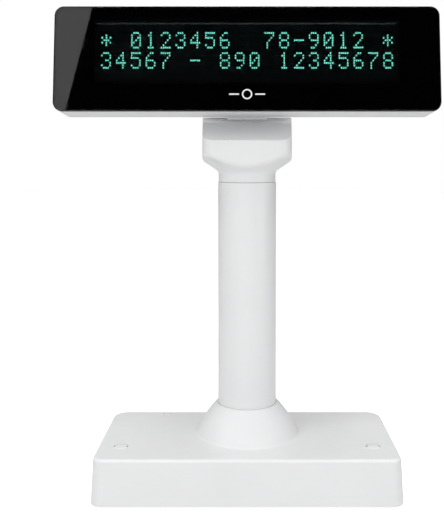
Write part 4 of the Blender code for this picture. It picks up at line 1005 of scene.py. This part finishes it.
def ears():
    """The two lugs that reach back to the hinge, each with its bore and the recess for its cap."""
    made = []
    for side in (-1, 1):
        inner, outer = sorted((side * EAR_INNER, side * own_box("hinge_cap_right")[1].x - side * PLAY))
        half = KNUCKLE_R - 0.02 * MM
        ear = slab((inner, outer), (HEAD_BACK - 2 * MM, 0), about(0, half))
        weld(ear, rod(KNUCKLE_R, (inner, outer), "X", (0, 0), 72))
        made.append(ease(ear, 0.3 * MM, 50))
    return made


def vents():
    """Rows of narrow slots with round ends."""
    half_w, half_h = VENT_SIZE[0] / 2, VENT_SIZE[1] / 2
    slots = []
    for side in (-1, 1):
        for i in range(VENT_COUNT):
            x = side * (VENT_X + i * VENT_STEP)
            span = (about(x, half_w), about(HEAD_BACK, 6 * MM), about(VENT_Z, half_h))
            slots.append(rounded_slab(*span, 1, half_w * 0.98, 5))
    return together(slots)


def rear_shell():
    """The white back: hollow, with its ears, screw posts, vents, hinge bores and the lead's way in."""
    rim, back, seat = own_box("rear_shell")[0].y, HEAD_BACK, HEAD_BACK - 2.6 * MM
    shell = node_slab("front_panel", HEAD_CORNER, (rim, back))
    bevel(shell, on_plane(1, back), 2.2 * MM, 6)
    bevel(shell, on_plane(1, rim), 0.2 * MM, 2)
    depth = (rim - PAST, back - HEAD_WALL)
    cut(shell, node_slab("front_panel", HEAD_CORNER - HEAD_WALL, depth, HEAD_WALL, 8))
    weld(shell, *ears())
    posts, holes = [], []
    for name in nodes_called("case_screw"):
        at = centre_of(name)
        posts.append(rod(4 * MM, (rim, back - MM), "Y", at))
        bore = rod(3.4 * MM, (seat, back + PAST), "Y", at, 48)
        holes.append(weld(bore, rod(1.6 * MM, (rim - PAST, back), "Y", at, 24)))
    for name in nodes_called("control_board_screw"):
        at = centre_of(name)
        posts.append(rod(3 * MM, (own_box("control_board")[1].y + PLAY, back - MM), "Y", at))
        holes.append(rod(1.4 * MM, (rim, seat), "Y", at, 24))
    weld(shell, together(posts))
    cut(shell, together(holes), vents())
    low, high = own_box("hinge_cap_right")
    cap_r = (high.z - low.z) / 2 + PLAY
    for side, start in CAP_RECESSES.items():
        bore = sorted((side * 9 * MM, side * 17 * MM))
        recess = sorted((side * start, side * 30 * MM))
        cut(shell, rod(KNUCKLE_BORE_R, bore, "X", (0, 0), 48), rod(cap_r, recess, "X", (0, 0), 48))
    lead_x = own_box("head_plug")[0].x + 5 * MM
    cut(shell, rod(2.6 * MM, (back - 2 * HEAD_WALL, 0), "Y", (lead_x, 0)))
    done(shell, "head_back_shell", HEAD_PLASTIC, "rear_shell")


# Five-by-seven characters, one string for each row of dots
GLYPHS = {
    "0": (".###.", "#...#", "#..##", "#.#.#", "##..#", "#...#", ".###."),
    "1": ("..#..", ".##..", "..#..", "..#..", "..#..", "..#..", ".###."),
    "2": (".###.", "#...#", "....#", "...#.", "..#..", ".#...", "#####"),
    "3": (".###.", "#...#", "....#", "..##.", "....#", "#...#", ".###."),
    "4": ("...#.", "..##.", ".#.#.", "#..#.", "#####", "...#.", "...#."),
    "5": ("#####", "#....", "####.", "....#", "....#", "#...#", ".###."),
    "6": ("..##.", ".#...", "#....", "####.", "#...#", "#...#", ".###."),
    "7": ("#####", "....#", "...#.", "..#..", ".#...", ".#...", ".#..."),
    "8": (".###.", "#...#", "#...#", ".###.", "#...#", "#...#", ".###."),
    "9": (".###.", "#...#", "#...#", ".####", "....#", "...#.", ".##.."),
    "-": (".....", ".....", ".....", "#####", ".....", ".....", "....."),
    "*": (".....", "..#..", "#.#.#", ".###.", "#.#.#", "..#..", "....."),
    " ": (".....",) * 7,
}
ROWS = ("* 0123456  78-9012 *", "34567 - 890 12345678")
DOT, DOT_PITCH = (0.70 * MM, 0.88 * MM), (1.10 * MM, 1.33 * MM)
CELL_PITCH, ROW_PITCH = 7.93 * MM, 10.97 * MM
TEXT_Z = HEAD_MID_Z + 5.6 * MM


def lit(x, z):
    """Whether the dot at a place in the head's own axes is lit."""
    left = -(19 * CELL_PITCH + 4 * DOT_PITCH[0]) / 2
    top = TEXT_Z + (ROW_PITCH + 6 * DOT_PITCH[1]) / 2
    column = int((x - left + DOT_PITCH[0] / 2) // CELL_PITCH)
    row = int((top - z + DOT_PITCH[1] / 2) // ROW_PITCH)
    across = round((x - left - column * CELL_PITCH) / DOT_PITCH[0])
    down = round((top - z - row * ROW_PITCH) / DOT_PITCH[1])
    return GLYPHS[ROWS[row][column]][down][across] == "#"


def characters(plate_y):
    """All the dots on the anode plate: one dot is repeated into the grid, then the lit ones are
    separated from the rest."""
    left = -(19 * CELL_PITCH + 4 * DOT_PITCH[0]) / 2
    low_z = TEXT_Z - (ROW_PITCH + 6 * DOT_PITCH[1]) / 2
    half_w, half_h = DOT[0] / 2, DOT[1] / 2
    dots = slab(about(left, half_w), (plate_y - 0.14 * MM, plate_y - 0.02 * MM), about(low_z, half_h))
    bevel(dots, lambda edge: along(edge, 1), 0.20 * MM, 2)
    dot_x, dot_z = DOT_PITCH
    for count, step in (
        (5, (dot_x, 0, 0)), (7, (0, 0, dot_z)), (20, (CELL_PITCH, 0, 0)), (2, (0, 0, ROW_PITCH)),
    ):
        finish_with(
            dots, "ARRAY", count=count, use_relative_offset=False, use_constant_offset=True,
            constant_offset_displace=step,
        )
    # Every face of a dot is nearer to its own dot's middle than to any other's
    with shaping(dots):
        pick(dots, "FACE", lambda face: lit(*(middle(face).xz)))
        bpy.ops.mesh.separate(type="SELECTED")
    glowing = next(o for o in bpy.context.selected_objects if o != dots)
    done(dots, "unlit_dots", UNLIT_PAINTED_GLOW)
    done(glowing, "lit_dots", LIT)


def display_tube():
    """The fluorescent display: its glass lid over the plate of characters, heater wires and leads."""
    low, high = own_box("tube_lid_glass")
    lid = node_slab("tube_lid_glass", 1.5 * MM, segments=6)
    bevel(lid, on_plane(1, low.y), 0.35 * MM, 3)
    wall = 2 * MM
    cut(lid, node_slab("tube_lid_glass", MM, (low.y + wall, high.y + PAST), wall, 4))
    done(lid, "tube_front_glass", TUBE_GLASS, "tube_lid_glass")
    refined("tube_base_glass", "tube_rear_glass", TUBE_GLASS, 0.2 * MM)
    plate_y = high.y - 0.9 * MM
    edge = wall + 0.6 * MM
    plate = node_slab("tube_lid_glass", 0.6 * MM, (plate_y, plate_y + 0.6 * MM), edge, 3)
    done(plate, "anode_plate", ANODE_PLATE)
    characters(plate_y)
    wire_r, span, y = 0.035 * MM, (low.x + 3.2 * MM, high.x - 3.2 * MM), plate_y - 1.2 * MM
    wires = [rod(wire_r, span, "X", (y, TEXT_Z + up * MM), 8) for up in (-7.6, -3.1, 3.1, 7.6)]
    done(together(wires), "heater_wires", TUNGSTEN)
    refined("tube_leads_top", "upper_tube_leads", TIN, 0)
    refined("tube_leads_bottom", "lower_tube_leads", TIN, 0)


def chip(node, name, legs):
    """A moulded chip with bent legs along its two long sides."""
    low, high = own_box(node)
    body = slab((low.x, high.x), (low.y + 0.15 * MM, high.y), (low.z + 0.9 * MM, high.z - 0.9 * MM))
    ease(body, 0.2 * MM)
    corner = (low.x + 1.3 * MM, high.z - 2.2 * MM)
    mark = rod(0.5 * MM, (high.y - 0.1 * MM, high.y + MM), "Y", corner, 20)
    done(cut(body, mark), name, CHIP_RESIN, node)
    pitch = (high.x - low.x - 1.6 * MM) / (legs - 1)
    thick, half = 0.15 * MM, 0.2 * MM
    parts = []
    for i in range(legs):
        x = low.x + 0.8 * MM + i * pitch
        for edge, inward in ((low.z, 1), (high.z, -1)):
            z = sorted((edge, edge + inward * 0.95 * MM))
            leg = slab(about(x, half), (low.y, low.y + thick), z)
            with shaping(leg):
                pick(leg, "VERT", lambda vert: abs(vert.co.z - edge) > 0.5 * MM)
                bpy.ops.transform.translate(value=(0, 0.7 * MM, 0))
            parts.append(leg)
    done(together(parts), f"{name}_legs", TIN)


def control_board():
    refined("control_board", "control_laminate", LAMINATE, 0)
    chip("processor_chip", "processor", 12)
    chip("driver_chip_left", "left_driver", 14)
    chip("driver_chip_right", "right_driver", 14)
    refined("head_plug", "lead_plug_in_head", BLACK_PLASTIC, 0.3 * MM)
    low, high = own_box("converter_coil")
    at, radius = (low + high) / 2, (high.x - low.x) / 2
    deep = high.y - low.y
    shares = ((0.5, 1), (1, 1), (1, 0.8), (0.72, 0.76), (0.72, 0.24), (1, 0.2), (1, 0.02))
    bobbin = scaled(radius, deep, shares)
    coil = lay(turned(bobbin, 48), "Y", (at.x, low.y, at.z))
    done(coil, "power_coil", BLACK_PLASTIC, "converter_coil")
    spots = [(0.06 + 0.052 * i, 0.16 + 0.09 * (i * 5 % 4), 1.6, 0.8) for i in range(17)]
    small_parts("control_board", "control_parts", "Y", [s for s in spots if not 0.1 < s[0] < 0.16])


def hinge():
    """The left pin with its slotted head, the right sleeve, the washers and the two caps."""
    low, high = own_box("hinge_pin")
    radius, pin_r, head = (high.z - low.z) / 2, KNUCKLE_BORE_R - PLAY, 1.8 * MM
    length = high.x - low.x - head
    profile = scaled(radius, head, ((0.6, 1), (0.9, 0.92), (1, 0.7), (1, 0)))
    profile += [(pin_r, 0), (pin_r, -length + 0.5 * MM), (pin_r - 0.5 * MM, -length)]
    pin = turned(profile, 48)
    cut(pin, slab(about(0, radius), about(0, 0.5 * MM), (0.5 * head, head + MM)))
    done(lay(pin, "X", (low.x + head, 0, 0), True), "pivot_pin", STEEL, "hinge_pin")
    refined("hinge_sleeve", "pivot_sleeve", STEEL, 0.2 * MM)
    refined("friction_washer_left", "left_friction_disc", STEEL, 0.1 * MM)
    refined("friction_washer_right", "right_friction_disc", STEEL, 0.1 * MM)
    for side, flip in (("left", True), ("right", False)):
        low, high = own_box(f"hinge_cap_{side}")
        radius, thick = (high.z - low.z) / 2, high.x - low.x
        dome = scaled(radius, thick, ((0.25, 1), (0.7, 0.97), (0.9, 0.88), (1, 0.7), (1, 0)))
        foot_x = high.x if flip else low.x
        cap = lay(turned(dome, 56), "X", (foot_x, 0, 0), flip)
        done(cap, f"{side}_pivot_cap", HEAD_PLASTIC, f"hinge_cap_{side}")
    refined("lead_head", "lead_in_head", SHEATH, 0)


def head():
    front_panel()
    front_frame()
    rear_shell()
    display_tube()
    control_board()
    hinge()


# ---------------------------------------------------------------- floor, light and camera

FLOOR_GLOW = (0.10, 0.85)           # what the floor gives the object, and how bright it looks


def studio_floor():
    bpy.ops.mesh.primitive_circle_add(vertices=96, radius=4, fill_type="NGON")
    floor = bpy.context.object
    floor.name = "floor"
    made, tree, shader, spot = finish("pale floor", (0.6, 0.6, 0.6), 0.9)
    feed(shader, {"Emission Color": (1, 1, 1, 1)})
    tone = tinted(tree, noise(tree, spot, 3.0), (0.59, 0.59, 0.59), (0.61, 0.61, 0.61))
    feed(shader, {"Base Color": tone})
    seen = tree.nodes.new("ShaderNodeLightPath").outputs["Is Camera Ray"]
    feed(shader, {"Emission Strength": spread(tree, seen, 0.0, 1.0, *FLOOR_GLOW)})
    floor.data.materials.append(made)


def softbox(name, at, aim, size, power):
    light = bpy.data.lights.new(name, "AREA")
    light.shape = "RECTANGLE"
    light.size, light.size_y = size
    light.energy = power
    obj = bpy.data.objects.new(name, light)
    bpy.context.scene.collection.objects.link(obj)
    facing = (Vector(aim) - Vector(at)).to_track_quat("-Z", "Y").to_matrix().to_4x4()
    obj.matrix_world = Matrix.Translation(at) @ facing
    return obj


SLANT_EDGE, SLANT, SLANT_SIZE = Vector((-0.364, -1.2, 0.595)), math.radians(12), (0.6, 1.4)


def slanting_box():
    """The box whose slanting edge is mirrored near the left end of the glossy front."""
    box = softbox("slanting box", (0, 0, 0), (0, 1, 0), SLANT_SIZE, 3.2)
    upright = Matrix.Rotation(math.pi / 2, 4, "X")
    box.matrix_world = (
        Matrix.Translation(SLANT_EDGE) @ Matrix.Rotation(SLANT, 4, "Y")
        @ Matrix.Translation((-SLANT_SIZE[0] / 2, 0, 0)) @ upright
    )


ROOM_FILL, ROOM_MIRRORED, ROOM_SEEN = 0.25, 0.004, 1.0
UPPER_AIM, LOWER_AIM = (0, POLE.y, 0.14), (0, 0, 0.12)
SOFTBOXES = (                       # name, place, aim, size, watts
    ("left key", (-0.95, -0.7, 0.95), UPPER_AIM, (0.6, 0.6), 4.0),
    ("right key", (0.95, -0.7, 0.95), UPPER_AIM, (0.6, 0.6), 1.4),
    ("overhead", (0, 0, 1.3), (0, 0, 0), (1.0, 1.0), 13.3),
    ("low front", (0, -1.2, 0.10), LOWER_AIM, (1.4, 0.22), 2.1),
    ("left low", (-1.15, -0.65, 0.16), LOWER_AIM, (0.6, 0.4), 1.5),
    ("right low", (1.15, -0.65, 0.16), LOWER_AIM, (0.6, 0.4), 3.6),
)


def studio_light():
    """A white room as the camera sees it, dark where the gloss would mirror it, and soft boxes."""
    world = bpy.data.worlds.new("studio")
    bpy.context.scene.world = world
    bpy.context.scene.view_settings.view_transform = "Standard"
    world.use_nodes = True
    tree = world.node_tree
    tree.nodes.clear()
    path = tree.nodes.new("ShaderNodeLightPath")
    fill, mirrored, seen = (
        node(tree, "ShaderNodeBackground", {"Color": (1, 1, 1, 1), "Strength": strength}).outputs[0]
        for strength in (ROOM_FILL, ROOM_MIRRORED, ROOM_SEEN)
    )
    glossy, camera_ray = path.outputs["Is Glossy Ray"], path.outputs["Is Camera Ray"]
    room = node(tree, "ShaderNodeMixShader", {0: glossy, 1: fill, 2: mirrored}).outputs[0]
    room = node(tree, "ShaderNodeMixShader", {0: camera_ray, 1: room, 2: seen}).outputs[0]
    node(tree, "ShaderNodeOutputWorld", {0: room})
    for settings in SOFTBOXES:
        softbox(*settings)
    slanting_box()


CAMERA_AWAY, CAMERA_HEIGHT = 419 * MM, 175.3 * MM
CAMERA_LENS, CAMERA_SHIFT = 53.1, (-0.049, -0.1921)


def camera():
    eye = bpy.data.cameras.new("camera")
    eye.lens, eye.sensor_width = CAMERA_LENS, 36
    eye.shift_x, eye.shift_y = CAMERA_SHIFT
    eye.clip_start = 0.01
    obj = bpy.data.objects.new("camera", eye)
    obj.location = (0, POLE.y - CAMERA_AWAY, CAMERA_HEIGHT)
    obj.rotation_euler = (math.pi / 2, 0, 0)
    bpy.context.scene.collection.objects.link(obj)
    bpy.context.scene.camera = obj


camera()
base()
screws()
pole()
neck()
head()
studio_floor()
studio_light()
